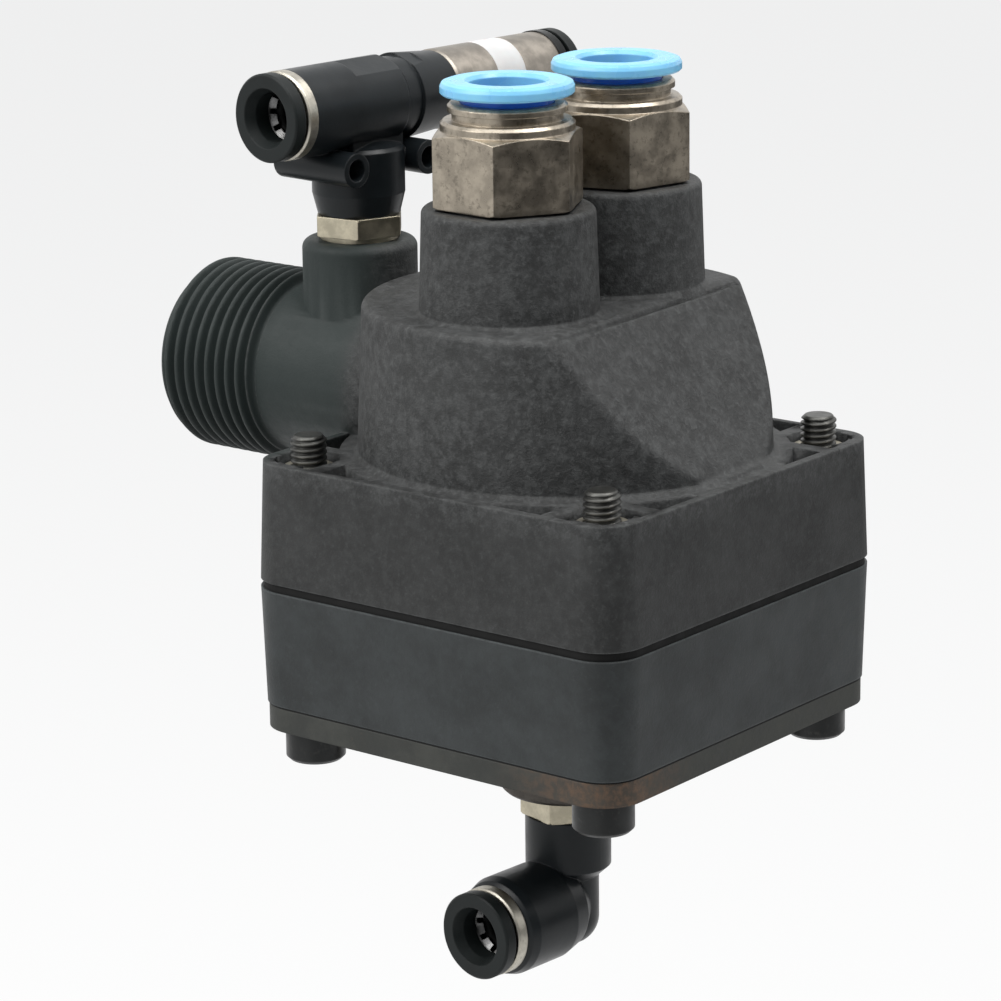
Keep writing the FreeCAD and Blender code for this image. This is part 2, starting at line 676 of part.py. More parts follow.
def cap_screw(x, y):
    shank = turned("Shank", (
        ("0", "-head_height"),
        ("head_radius - head_edge", "-head_height"),
        ("head_radius", "-head_height + head_edge"),
        ("head_radius", "0"),
        ("screw_radius", "0"),
        ("screw_radius", "screw_length - head_edge"),
        ("screw_radius - head_edge", "screw_length"),
        ("0", "screw_length"),
    ))
    place(shank, x, y)
    socket = hexagon("socket_across", "-head_height - overcut", "-head_height + socket_depth", "0", x, y)
    return cut(shank, socket)


screws = doc.addObject("Part::Compound", "Screws")
screws.Links = [cap_screw(x, y) for x, y in SCREW_PLACES]
on_valve_axis(named(screws, "cap_screws"))

bush = turned("port_bush", (
    (STEM_SOCKET, "-bush_drop"),
    ("bush_radius - head_edge", "-bush_drop"),
    ("bush_radius", "-bush_drop + head_edge"),
    ("bush_radius", "0"),
    ("bush_spigot", "0"),
    ("bush_spigot", GASKET),
    (STEM_SOCKET, GASKET),
))
on_valve_axis(bush)


# Diaphragm with a raised middle, and the plates that it carries

CREST = "disc_radius + fixed_gap"
CENTRE_HOLE = "screw_radius + sliding_gap"
diaphragm = square("diaphragm_blank", "half_width - diaphragm_inset", "corner_radius", SEAM, UPPER)
diaphragm = cut(
    diaphragm,
    four(PLAIN_HOLE, SEAM + " - overcut", UPPER + " + overcut"),
    upright("chamber_radius - overcut", SEAM + " - overcut", UPPER + " + overcut"),
)
dome = turned("Dome", (
    (CENTRE_HOLE, CENTRE_BOTTOM),
    (CREST, CENTRE_BOTTOM),
    ("chamber_radius - diaphragm_thickness", SEAM),
    ("chamber_radius", SEAM),
    ("chamber_radius", UPPER),
    (f"{CREST} + diaphragm_thickness", UPPER_DISC_BOTTOM),
    (CENTRE_HOLE, UPPER_DISC_BOTTOM),
))
on_valve_axis(named(fuse(diaphragm, dome), "diaphragm"))


def disc(label, radius, bottom, top, hole=CENTRE_HOLE):
    flat = turned(label, ((hole, bottom), (radius, bottom), (radius, top), (hole, top)))
    return on_valve_axis(flat)


disc("lower_support_plate", "disc_radius", LOWER_DISC_BOTTOM, CENTRE_BOTTOM)
disc("upper_support_plate", "disc_radius", UPPER_DISC_BOTTOM, SEAL_BOTTOM)
disc("seat_seal", "seal_radius", SEAL_BOTTOM, SEAT)
disc("seal_washer", "washer_radius", SEAT, SEAT + " + washer_thickness")

BUTTON = SEAT + " + washer_thickness"
NUT_BOTTOM = LOWER_DISC_BOTTOM + " - nut_height"
centre_screw = turned("CentreShank", (
    ("0", NUT_BOTTOM + " - head_edge * 2"),
    ("screw_radius - head_edge", NUT_BOTTOM + " - head_edge * 2"),
    ("screw_radius", NUT_BOTTOM + " - head_edge"),
    ("screw_radius", BUTTON),
    ("button_radius", BUTTON),
    ("button_radius", BUTTON + " + button_height / 3"),
    ("button_radius / 2", BUTTON + " + button_height"),
    ("0", BUTTON + " + button_height"),
))
centre_screw = cut(
    centre_screw,
    hexagon("socket_across * 4 / 5", BUTTON + " + button_height / 2", BUTTON + " + button_height + overcut"),
)
on_valve_axis(named(centre_screw, "centre_screw"))

nut = cut(
    hexagon("nut_across", NUT_BOTTOM, LOWER_DISC_BOTTOM),
    upright("screw_radius + thread_clearance", NUT_BOTTOM + " - overcut", LOWER_DISC_BOTTOM + " + overcut"),
)
on_valve_axis(named(nut, "centre_nut"))


HALF_TURNS = 8


def coil(radius, wire, height):
    """A coil spring that stands on z = 0, made of half turns, with a flat one at each end."""
    rise = f"(({height}) - {wire} * 2) / {HALF_TURNS}"
    slant = f"atan({rise} / ({radius} * 2))"
    # A half turn lies on the +Y side. Every second one is then turned round to the -Y side.
    near = []
    far = []
    for number in range(HALF_TURNS + 2):
        flat_end = number in (0, HALF_TURNS + 1)
        steps = min(max(number - 0.5, 0), HALF_TURNS)
        tilt = "0" if flat_end else slant
        half = doc.addObject("Part::Torus", "HalfTurn")
        half.Angle3 = 180
        bind(half, Radius1=f"{radius} / cos({tilt})", Radius2=wire)
        place(half, z=f"{wire} + {rise} * {steps}", axis=(0, 1, 0), turn=tilt)
        (far if number % 2 else near).append(half)
    other_side = doc.addObject("Part::Compound", "OtherSide")
    other_side.Links = far
    place(other_side, turn="180")
    return fuse(*near, other_side)


spring = named(coil("spring_radius", "spring_wire", less(LOWER_DISC_BOTTOM, GASKET)), "return_spring")
place(spring, "outlet_reach", "0", less(GASKET, OUTLET))


# Release collar, grab ring and seal of a port. Stations p run out of the port from its shoulder.

def station(base, sign, p):
    return f"{base} {sign} ({p})"


COLLAR_BORE = "small_tube + tube_clearance"
COLLAR_SLEEVE = f"{COLLAR_BORE} + small_collar_wall"
CAP_BORE = f"{COLLAR_SLEEVE} + sliding_gap"
SKIRT = "port_socket - fixed_gap"
GRAB_SEAT = "-port_step"
SEAL_SEAT = f"{GRAB_SEAT} - port_seal_depth"
TUBE_STOP = f"{SEAL_SEAT} - port_tube_depth"
COLLAR_FACE = "port_ring + small_collar_travel + stop_gap + small_collar_flange"
GRAB_TOP = f"{GRAB_SEAT} + grab_thickness"
SLEEVE_END = f"{GRAB_TOP} + small_collar_travel + stop_gap"
TOOTH_TIP = "small_tube + tube_clearance / 2"
SEAL_BORE = "(port_socket - grab_thickness)"
SMALL_TEETH = 10
LARGE_TEETH = 14


def slots(count, inner, outer, height):
    """Narrow radial slots through a grab ring, one after the other round the axis."""
    cutters = []
    for number in range(count):
        cutter = doc.addObject("Part::Box", "Slot")
        bind(cutter, Length=less(outer, inner), Width="grab_slot", Height="grab_depth * 4")
        angle = 360 / count * number
        cutter.Placement = FreeCAD.Placement(Vector(0, 0, 0), FreeCAD.Rotation(Vector(0, 0, 1), angle))
        spin = math.radians(angle)
        across = f"({inner}) * {math.cos(spin):.6f} + grab_slot / 2 * {math.sin(spin):.6f}"
        along = f"({inner}) * {math.sin(spin):.6f} - grab_slot / 2 * {math.cos(spin):.6f}"
        cutter.setExpression("Placement.Base.x", linked(across))
        cutter.setExpression("Placement.Base.y", linked(along))
        cutter.setExpression("Placement.Base.z", linked(f"{height} - grab_depth * 2"))
        cutters.append(cutter)
    return cutters


def port(prefix, base, sign, set_in_place, ring_radius="port_radius", flange="small_collar_radius"):
    """The pieces of a small tube port that opens along Y, by sign."""
    def at(p):
        return station(base, sign, p)

    lip = less("port_ring", "port_lip")
    set_in_place(turned(prefix + "_cap_ring", (
        (at("port_ring"), CAP_BORE),
        (at("port_ring"), ring_radius + " - collar_edge"),
        (at("port_ring - collar_edge"), ring_radius),
        (at("0"), ring_radius),
        (at("0"), "port_spigot + fixed_gap"),
        (at(lip), "port_spigot + fixed_gap"),
        (at(lip), SKIRT),
        (at(f"{GRAB_TOP} + fixed_gap"), SKIRT),
        (at(f"{GRAB_TOP} + fixed_gap"), CAP_BORE),
    ), along_y=True))
    set_in_place(turned(prefix + "_release_collar", (
        (at(COLLAR_FACE), f"{COLLAR_BORE} + small_collar_mouth"),
        (at(COLLAR_FACE), flange + " - collar_edge"),
        (at(f"{COLLAR_FACE} - collar_edge"), flange),
        (at(f"{COLLAR_FACE} - small_collar_flange"), flange),
        (at(f"{COLLAR_FACE} - small_collar_flange"), COLLAR_SLEEVE),
        (at(SLEEVE_END), COLLAR_SLEEVE),
        (at(SLEEVE_END), COLLAR_BORE),
        (at(f"{COLLAR_FACE} - small_collar_mouth * 2"), COLLAR_BORE),
    ), along_y=True))
    tilt = "90" if sign == "-" else "-90"
    blank = turned("GrabBlank", (
        (TOOTH_TIP, f"{GRAB_SEAT} - grab_depth"),
        (CAP_BORE, GRAB_SEAT),
        (SKIRT, GRAB_SEAT),
        (SKIRT, GRAB_TOP),
        (CAP_BORE, GRAB_TOP),
        (TOOTH_TIP, f"{GRAB_TOP} - grab_depth"),
    ))
    grab = cut(blank, *slots(SMALL_TEETH, "small_tube - overcut", f"{CAP_BORE} - grab_thickness", GRAB_SEAT))
    place(grab, "0", base, "0", axis=(1, 0, 0), turn=tilt)
    held = doc.addObject("Part::Compound", "Held")
    held.Links = [grab]
    set_in_place(named(held, prefix + "_grab_ring"))
    seal = ring("Seal", f"(small_tube + {SEAL_BORE}) / 2", f"({SEAL_BORE} - small_tube) / 2 - fixed_gap")
    place(seal, "0", at(f"{SEAL_SEAT} + port_seal_depth / 3"), "0", axis=(1, 0, 0), turn="90")
    sealed = doc.addObject("Part::Compound", "Sealed")
    sealed.Links = [seal]
    set_in_place(named(sealed, prefix + "_tube_seal"))


SPIGOT_END = less("port_ring", "port_lip + fixed_gap")


def port_socket(base, sign):
    """Corners of a port's bore, from its mouth to the tube stop, as (station, radius)."""
    def at(p):
        return station(base, sign, p)

    return [
        (at(SPIGOT_END), "0"),
        (at(SPIGOT_END), "port_socket"),
        (at(GRAB_SEAT), "port_socket"),
        (at(GRAB_SEAT), SEAL_BORE),
        (at(SEAL_SEAT), SEAL_BORE),
        (at(SEAL_SEAT), COLLAR_BORE),
        (at(TUBE_STOP), COLLAR_BORE),
        (at(TUBE_STOP), "0"),
    ]


# Swivel stems, thread at one end and spigot at the other, made about the hexagon's outer face

SPIGOT_BORE = "stem_spigot + swivel_gap"
SEAL_GROOVE = "stem_spigot - stem_seal * 2"


def stem(label, sign, hex_height, thread_length, seal_label):
    """sign is the side of the hexagon that the spigot stands on. z = 0 is the thread's side."""
    def at(height):
        return f"{sign}({height})"
    top = f"{hex_height} + stem_spigot_length"
    middle = f"{hex_height} + stem_spigot_length * 3 / 4"
    shaft = turned("Shaft", (
        ("stem_bore", at(f"-({thread_length})")),
        ("stem_thread - head_edge", at(f"-({thread_length})")),
        ("stem_thread", at(f"-({thread_length}) + head_edge")),
        ("stem_thread", at(f"{hex_height} / 2")),
        ("stem_spigot", at(f"{hex_height} / 2")),
        ("stem_spigot", at(f"{middle} - stem_seal")),
        (SEAL_GROOVE, at(f"{middle} - stem_seal")),
        (SEAL_GROOVE, at(f"{middle} + stem_seal")),
        ("stem_spigot", at(f"{middle} + stem_seal")),
        ("stem_spigot", at(top)),
        ("stem_bore", at(top)),
    ))
    low, high = ("0", hex_height) if sign == "" else ("-" + hex_height, "0")
    bevel = turned("Bevel", (
        ("stem_bore", low),
        ("stem_across / sqrt(3) - head_edge / 2", low),
        ("stem_across / sqrt(3)", f"{low} + head_edge / 2"),
        ("stem_across / sqrt(3)", f"{high} - head_edge / 2"),
        ("stem_across / sqrt(3) - head_edge / 2", high),
        ("stem_bore", high),
    ))
    turn = "tee_hex_turn" if sign == "" else "elbow_hex_turn"
    nut_form = common(hexagon("stem_across", low, high, turn), bevel)
    whole = named(fuse(shaft, nut_form), label)
    seal = ring(seal_label, "stem_spigot - stem_seal", "stem_seal")
    return whole, seal, at(middle)


TEE_THREAD = "stem_thread_length + stem_exposed"
tee_stem, tee_seal, seal_height = stem("tee_stem", "", "tee_hex_height", TEE_THREAD, "tee_stem_seal")
place(tee_stem, "tee_inset", "0", less(TEE_HEX, OUTLET))
place(tee_seal, "tee_inset", "0", f"{less(TEE_HEX, OUTLET)} + {seal_height}")

elbow_stem, elbow_seal, seal_height = stem(
    "elbow_stem", "-", "elbow_hex_height", "stem_thread_length", "elbow_stem_seal"
)
place(elbow_stem, "outlet_reach", "0", less(ELBOW_HEX, OUTLET))
place(elbow_seal, "outlet_reach", "0", f"{less(ELBOW_HEX, OUTLET)} + {seal_height}")


# Tee body: a run along Y, a branch down to the stem, and two mounting eyes

FOOT = "-(tee_height - tee_hex_height - swivel_gap)"
NEAR = "-near_reach"
run = turned("Run", (
    (station(NEAR, "-", SPIGOT_END), "0"),
    (station(NEAR, "-", SPIGOT_END), "port_spigot"),
    (NEAR, "port_spigot"),
    (NEAR, "port_radius"),
    ("run_reach - collar_edge * 3", "port_radius"),
    ("run_reach", "waist_radius"),
    ("waist_end", "waist_radius"),
    ("waist_end", "far_radius"),
    ("far_reach", "far_end_radius"),
    ("far_reach", "0"),
), along_y=True)
branch = turned("Branch", (
    ("0", FOOT),
    ("branch_foot_radius", FOOT),
    ("branch_radius", FOOT + " + branch_taper"),
    ("branch_radius", "-branch_shoulder - collar_edge * 2"),
    ("branch_radius - collar_edge * 2", "-branch_shoulder"),
    ("0", "-branch_shoulder + port_bore"),
))
eyes = [
    level("eye_radius", "-eye_back", "eye_front", f"{side}eye_offset", "-eye_drop") for side in ("", "-")
]
eye_holes = [
    level("eye_hole", "-eye_back - overcut", "eye_front + overcut", f"{side}eye_offset", "-eye_drop")
    for side in ("", "-")
]
EYE_WEB = "branch_radius * 3 / 4"
web = box("-stem_spigot", "stem_spigot", "-" + EYE_WEB, EYE_WEB, "-eye_drop", "-port_radius / 2")
level_flat = box("-port_radius", "port_radius", "flat_start", "flat_end", "flat_height", "port_radius + overcut")
flat = doc.addObject("Part::Compound", "Flat")
flat.Links = [level_flat]
place(flat, axis=(0, 1, 0), turn="flat_lean")
tee_socket = turned("TeeSocket", port_socket(NEAR, "-"), along_y=True)
far_socket = turned("FarSocket", (
    ("far_reach + overcut", "0"),
    ("far_reach + overcut", "sleeve_plug + fixed_gap"),
    ("far_reach - sleeve_plug_length", "sleeve_plug + fixed_gap"),
    ("far_reach - sleeve_plug_length", "0"),
), along_y=True)
passage = turned("Passage", (
    (station(NEAR, "-", f"{TUBE_STOP} + overcut"), "0"),
    (station(NEAR, "-", f"{TUBE_STOP} + overcut"), "port_bore"),
    ("far_reach - sleeve_plug_length + overcut", "port_bore"),
    ("far_reach - sleeve_plug_length + overcut", "0"),
), along_y=True)
tee_body = cut(
    fuse(run, branch, web, *eyes),
    flat,
    tee_socket,
    far_socket,
    passage,
    *eye_holes,
    upright(SPIGOT_BORE, FOOT + " - overcut", FOOT + " + stem_spigot_length"),
    upright("stem_bore", FOOT, "0"),
)
on_tee(named(tee_body, "tee_body"))
port("tee", NEAR, "-", on_tee)


# Check valve: nickel sleeve with a white band, poppet, spring and a port at its far end

SLEEVE_NEAR = "far_reach"
SLEEVE_FAR = "far_reach + sleeve_length"
SEAT_STATION = "far_reach + check_seat_depth"
SPRING_STOP = SEAT_STATION + " + check_chamber"
BAND_NEAR = "far_reach + band_start"
BAND_FAR = BAND_NEAR + " + band_width"
sleeve = turned("Sleeve", (
    ("far_reach - sleeve_plug_length", "0"),
    ("far_reach - sleeve_plug_length", "sleeve_plug"),
    (SLEEVE_NEAR, "sleeve_plug"),
    (SLEEVE_NEAR, "far_end_radius"),
    (SLEEVE_NEAR + " + head_edge", "sleeve_radius"),
    (BAND_NEAR, "sleeve_radius"),
    (BAND_NEAR, "sleeve_radius - band_thickness"),
    (BAND_FAR, "sleeve_radius - band_thickness"),
    (BAND_FAR, "sleeve_radius"),
    (SLEEVE_FAR, "sleeve_radius"),
    (SLEEVE_FAR, "port_spigot"),
    (station(SLEEVE_FAR, "+", SPIGOT_END), "port_spigot"),
    (station(SLEEVE_FAR, "+", SPIGOT_END), "0"),
), along_y=True)
chamber_bore = turned("CheckChamber", (
    (SEAT_STATION, "0"),
    (SEAT_STATION, "check_bore"),
    (SPRING_STOP, "check_bore"),
    (SPRING_STOP, "0"),
), along_y=True)
inlet_bore = turned("CheckInlet", (
    ("far_reach - sleeve_plug_length - overcut", "0"),
    ("far_reach - sleeve_plug_length - overcut", "check_seat_bore"),
    (station(SLEEVE_FAR, "+", f"{TUBE_STOP} + overcut"), "check_seat_bore"),
    (station(SLEEVE_FAR, "+", f"{TUBE_STOP} + overcut"), "0"),
), along_y=True)
check_socket = turned("CheckSocket", port_socket(SLEEVE_FAR, "+"), along_y=True)
sleeve = cut(sleeve, chamber_bore, inlet_bore, check_socket)
on_tee(named(sleeve, "check_sleeve"))
band = turned("check_band", (
    (BAND_NEAR, "sleeve_radius - band_thickness"),
    (BAND_NEAR, "sleeve_radius"),
    (BAND_FAR, "sleeve_radius"),
    (BAND_FAR, "sleeve_radius - band_thickness"),
), along_y=True)
on_tee(band)
port("check", SLEEVE_FAR, "+", on_tee, "check_cap_radius", "check_cap_radius - fixed_gap")

POPPET_STEM = "check_spring_radius - check_spring_wire * 3"
poppet = turned("check_poppet", (
    (SEAT_STATION + " - check_seat_bore / 2", "0"),
    (SEAT_STATION + " + stop_gap", "check_seat_bore - sliding_gap"),
    (SEAT_STATION + " + stop_gap", "check_bore - sliding_gap"),
    (SEAT_STATION + " + poppet_length / 2", "check_bore - sliding_gap"),
    (SEAT_STATION + " + poppet_length / 2", POPPET_STEM),
    (SEAT_STATION + " + poppet_length", POPPET_STEM),
    (SEAT_STATION + " + poppet_length", "0"),
), along_y=True)
on_tee(poppet)

SPRING_FOOT = SEAT_STATION + " + poppet_length / 2"
check_coil = coil("check_spring_radius", "check_spring_wire", less(SPRING_STOP, SPRING_FOOT))
place(check_coil, "0", SPRING_FOOT, "0", axis=(1, 0, 0), turn="-90")
check_spring = doc.addObject("Part::Compound", "CheckSpring")
check_spring.Links = [check_coil]
on_tee(named(check_spring, "check_spring"))


# Elbow body on the stem under the plate

NECK_TOP = "elbow_drop - elbow_hex_height - swivel_gap"
NECK_FOOT = NECK_TOP + " - elbow_neck_length"
CORE_TOP = NECK_FOOT + " - elbow_taper"
elbow_upright = turned("ElbowUpright", (
    ("0", NECK_TOP),
    ("elbow_neck_radius", NECK_TOP),
    ("elbow_neck_radius", NECK_FOOT),
    ("elbow_core_radius", CORE_TOP),
    ("elbow_core_radius", "0"),
    ("0", "0"),
))
elbow_core = upright("elbow_core_radius", "-elbow_core_radius / 2", "0")
elbow_ball = doc.addObject("Part::Sphere", "ElbowBall")
bind(elbow_ball, Radius="elbow_core_radius")
place(elbow_ball, "0", "0", "-elbow_core_radius / 2")
ARM = "-elbow_reach"
arm = turned("ElbowArm", (
    (station(ARM, "-", SPIGOT_END), "0"),
    (station(ARM, "-", SPIGOT_END), "port_spigot"),
    (ARM, "port_spigot"),
    (ARM, "elbow_arm_radius - elbow_shoulder"),
    (station(ARM, "+", "elbow_shoulder / 2"), "elbow_arm_radius - elbow_shoulder / 3"),
    (station(ARM, "+", "elbow_shoulder * 3 / 2"), "elbow_arm_radius"),
    ("-elbow_heel", "elbow_arm_radius"),
    ("-elbow_heel / 2", "(elbow_arm_radius * 3 + elbow_core_radius) / 4"),
    ("0", "elbow_core_radius - sliding_gap"),
    ("0", "0"),
), along_y=True)
elbow_passage = turned("ElbowPassage", (
    (station(ARM, "-", f"{TUBE_STOP} + overcut"), "0"),
    (station(ARM, "-", f"{TUBE_STOP} + overcut"), "port_bore"),
    ("0", "port_bore"),
    ("0", "0"),
), along_y=True)
elbow_body = cut(
    fuse(elbow_upright, elbow_core, elbow_ball, arm),
    turned("ElbowSocket", port_socket(ARM, "-"), along_y=True),
    elbow_passage,
    upright(SPIGOT_BORE, f"{NECK_TOP} - stem_spigot_length", NECK_TOP + " + overcut"),
    upright("stem_bore", "0", NECK_TOP),
)
on_elbow(named(elbow_body, "elbow_body"))
port("elbow", ARM, "-", on_elbow)


# Inlet fittings on the risers. Heights h count from the riser's top.

HEX_TOP = "inlet_washer + inlet_hex_height"
BEAD_BOTTOM = HEX_TOP + " + inlet_bevel"
BEAD_TOP = BEAD_BOTTOM + " + inlet_bead_height"
GROOVE_TOP = BEAD_TOP + " + inlet_groove_height"
LIP_TOP = GROOVE_TOP + " + inlet_lip_height"
LARGE_BORE = "large_tube + tube_clearance + fixed_gap"
LARGE_SLEEVE = f"{LARGE_BORE} + large_collar_wall"
LARGE_CAP_BORE = f"{LARGE_SLEEVE} + sliding_gap"
LARGE_SOCKET = "inlet_groove_radius - inlet_socket_wall"
LARGE_SKIRT = f"{LARGE_SOCKET} - fixed_gap"
LARGE_GRAB_SEAT = less(HEX_TOP, "grab_thickness")
LARGE_GRAB_TOP = HEX_TOP
LARGE_SEAL_BORE = f"{LARGE_SOCKET} - grab_thickness"
LARGE_SEAL_SEAT = f"{LARGE_GRAB_SEAT} - port_seal_depth - grab_thickness"
LARGE_TUBE_STOP = f"{LARGE_SEAL_SEAT} - port_tube_depth"
FLANGE_BOTTOM = LIP_TOP + " + large_collar_travel + stop_gap"
FLANGE_TOP = FLANGE_BOTTOM + " + large_collar_flange"
HEX_CORNER = "inlet_across / sqrt(3)"


def inlet(prefix, y, hex_turn):
    """One inlet fitting with its washer, cap ring, grab ring, tube seal and release collar."""
    def on_riser(item):
        return place(item, "outlet_reach", y, less(RISER_TOP, OUTLET))

    bevelled = turned("InletBevel", (
        ("0", "inlet_washer"),
        (f"{HEX_CORNER} - head_edge", "inlet_washer"),
        (HEX_CORNER, "inlet_washer + head_edge / 2"),
        (HEX_CORNER, HEX_TOP),
        ("inlet_bead_radius", BEAD_BOTTOM),
        ("0", BEAD_BOTTOM),
    ))
    hex_part = common(hexagon("inlet_across", "inlet_washer", BEAD_BOTTOM, hex_turn), bevelled)
    barrel = turned("InletBarrel", (
        ("0", "-inlet_thread_length"),
        ("inlet_thread - head_edge", "-inlet_thread_length"),
        ("inlet_thread", "-inlet_thread_length + head_edge"),
        ("inlet_thread", "inlet_washer + head_edge"),
        ("inlet_groove_radius", HEX_TOP),
        ("inlet_groove_radius", BEAD_BOTTOM),
        ("inlet_bead_radius", BEAD_BOTTOM),
        ("inlet_bead_radius", f"{BEAD_TOP} - head_edge"),
        ("inlet_bead_radius - head_edge", BEAD_TOP),
        ("inlet_groove_radius", BEAD_TOP),
        ("inlet_groove_radius", GROOVE_TOP),
        ("0", GROOVE_TOP),
    ))
    hollow = turned("InletHollow", (
        ("0", "-inlet_thread_length - overcut"),
        ("inlet_bore", "-inlet_thread_length - overcut"),
        ("inlet_bore", LARGE_TUBE_STOP),
        (LARGE_BORE, LARGE_TUBE_STOP),
        (LARGE_BORE, LARGE_SEAL_SEAT),
        (LARGE_SEAL_BORE, LARGE_SEAL_SEAT),
        (LARGE_SEAL_BORE, LARGE_GRAB_SEAT),
        (LARGE_SOCKET, LARGE_GRAB_SEAT),
        (LARGE_SOCKET, GROOVE_TOP + " + overcut"),
        ("0", GROOVE_TOP + " + overcut"),
    ))
    on_riser(named(cut(fuse(hex_part, barrel), hollow), prefix + "_inlet_fitting"))
    washer = turned(prefix + "_inlet_washer", (
        (THREAD_SOCKET, "0"),
        ("inlet_across / 2 - head_edge", "0"),
        ("inlet_across / 2 - head_edge", "inlet_washer"),
        (THREAD_SOCKET, "inlet_washer"),
    ))
    on_riser(washer)
    cap = turned(prefix + "_cap_ring", (
        (LARGE_CAP_BORE, f"{LARGE_GRAB_TOP} + fixed_gap"),
        (LARGE_SKIRT, f"{LARGE_GRAB_TOP} + fixed_gap"),
        (LARGE_SKIRT, GROOVE_TOP),
        ("inlet_lip_radius", GROOVE_TOP),
        ("inlet_lip_radius", f"{LIP_TOP} - head_edge"),
        ("inlet_lip_radius - head_edge", LIP_TOP),
        (LARGE_CAP_BORE, LIP_TOP),
    ))
    on_riser(cap)
    tip = "large_tube + tube_clearance / 2"
    blank = turned("InletGrab", (
        (tip, f"{LARGE_GRAB_SEAT} - grab_depth"),
        (LARGE_CAP_BORE, LARGE_GRAB_SEAT),
        (LARGE_SKIRT, LARGE_GRAB_SEAT),
        (LARGE_SKIRT, LARGE_GRAB_TOP),
        (LARGE_CAP_BORE, LARGE_GRAB_TOP),
        (tip, f"{LARGE_GRAB_TOP} - grab_depth"),
    ))
    teeth = slots(LARGE_TEETH, "large_tube - overcut", f"{LARGE_CAP_BORE} - grab_thickness", LARGE_GRAB_SEAT)
    on_riser(named(cut(blank, *teeth), prefix + "_grab_ring"))
    seal = ring(
        prefix + "_tube_seal",
        f"(large_tube + {LARGE_SEAL_BORE}) / 2",
        f"({LARGE_SEAL_BORE} - large_tube) / 2 - fixed_gap",
    )
    place(seal, "outlet_reach", y, f"{less(RISER_TOP, OUTLET)} + {LARGE_SEAL_SEAT} + port_seal_depth / 3")
    sleeve_end = f"{LARGE_GRAB_TOP} + large_collar_travel + stop_gap"
    collar = turned(prefix + "_release_collar", (
        (LARGE_BORE, sleeve_end),
        (LARGE_SLEEVE, sleeve_end),
        (LARGE_SLEEVE, FLANGE_BOTTOM),
        ("large_collar_radius - collar_edge", FLANGE_BOTTOM),
        ("large_collar_radius", f"{FLANGE_BOTTOM} + collar_edge"),
        ("large_collar_radius", f"{FLANGE_TOP} - collar_edge * 3"),
        ("large_collar_radius - collar_edge", f"{FLANGE_TOP} - collar_edge"),
        ("large_collar_radius - collar_edge * 4", FLANGE_TOP),
        (f"{LARGE_BORE} + collar_edge * 2", FLANGE_TOP),
        (LARGE_BORE, f"{FLANGE_TOP} - collar_edge * 2"),
    ))
    on_riser(collar)


inlet("front", "-riser_offset", "front_hex_turn")
inlet("rear", "riser_offset", "rear_hex_turn")


# Nodes, in the order of their names

NODES = (
    "base_plate", "base_gasket", "lower_body", "upper_body", "threaded_inserts", "cap_screws", "port_bush",
    "diaphragm", "lower_support_plate", "upper_support_plate", "seat_seal", "seal_washer", "centre_screw",
    "centre_nut", "return_spring",
    "front_inlet_fitting", "front_inlet_washer", "front_cap_ring", "front_grab_ring", "front_tube_seal",
    "front_release_collar",
    "rear_inlet_fitting", "rear_inlet_washer", "rear_cap_ring", "rear_grab_ring", "rear_tube_seal",
    "rear_release_collar",
    "tee_stem", "tee_stem_seal", "tee_body", "tee_cap_ring", "tee_grab_ring", "tee_tube_seal",
    "tee_release_collar",
    "check_sleeve", "check_band", "check_poppet", "check_spring", "check_cap_ring", "check_grab_ring",
    "check_tube_seal", "check_release_collar",
    "elbow_stem", "elbow_stem_seal", "elbow_body", "elbow_cap_ring", "elbow_grab_ring", "elbow_tube_seal",
    "elbow_release_collar",
)

doc.recompute()
for item in doc.Objects:
    if "Invalid" in item.State or "Error" in item.State:
        raise RuntimeError(f"{item.Label} is not built: {item.State}")

os.makedirs("parts", exist_ok=True)
for label in NODES:
    shape = doc.getObjectsByLabel(label)[0].Shape
    if shape.isNull() or not shape.isValid():
        raise RuntimeError(f"{label} has no valid shape")
    shape.exportStep(f"parts/{label}.step")
print(f"{len(NODES)} nodes written")
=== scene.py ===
import json
import math

import bmesh
import bpy
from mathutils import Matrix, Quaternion, Vector

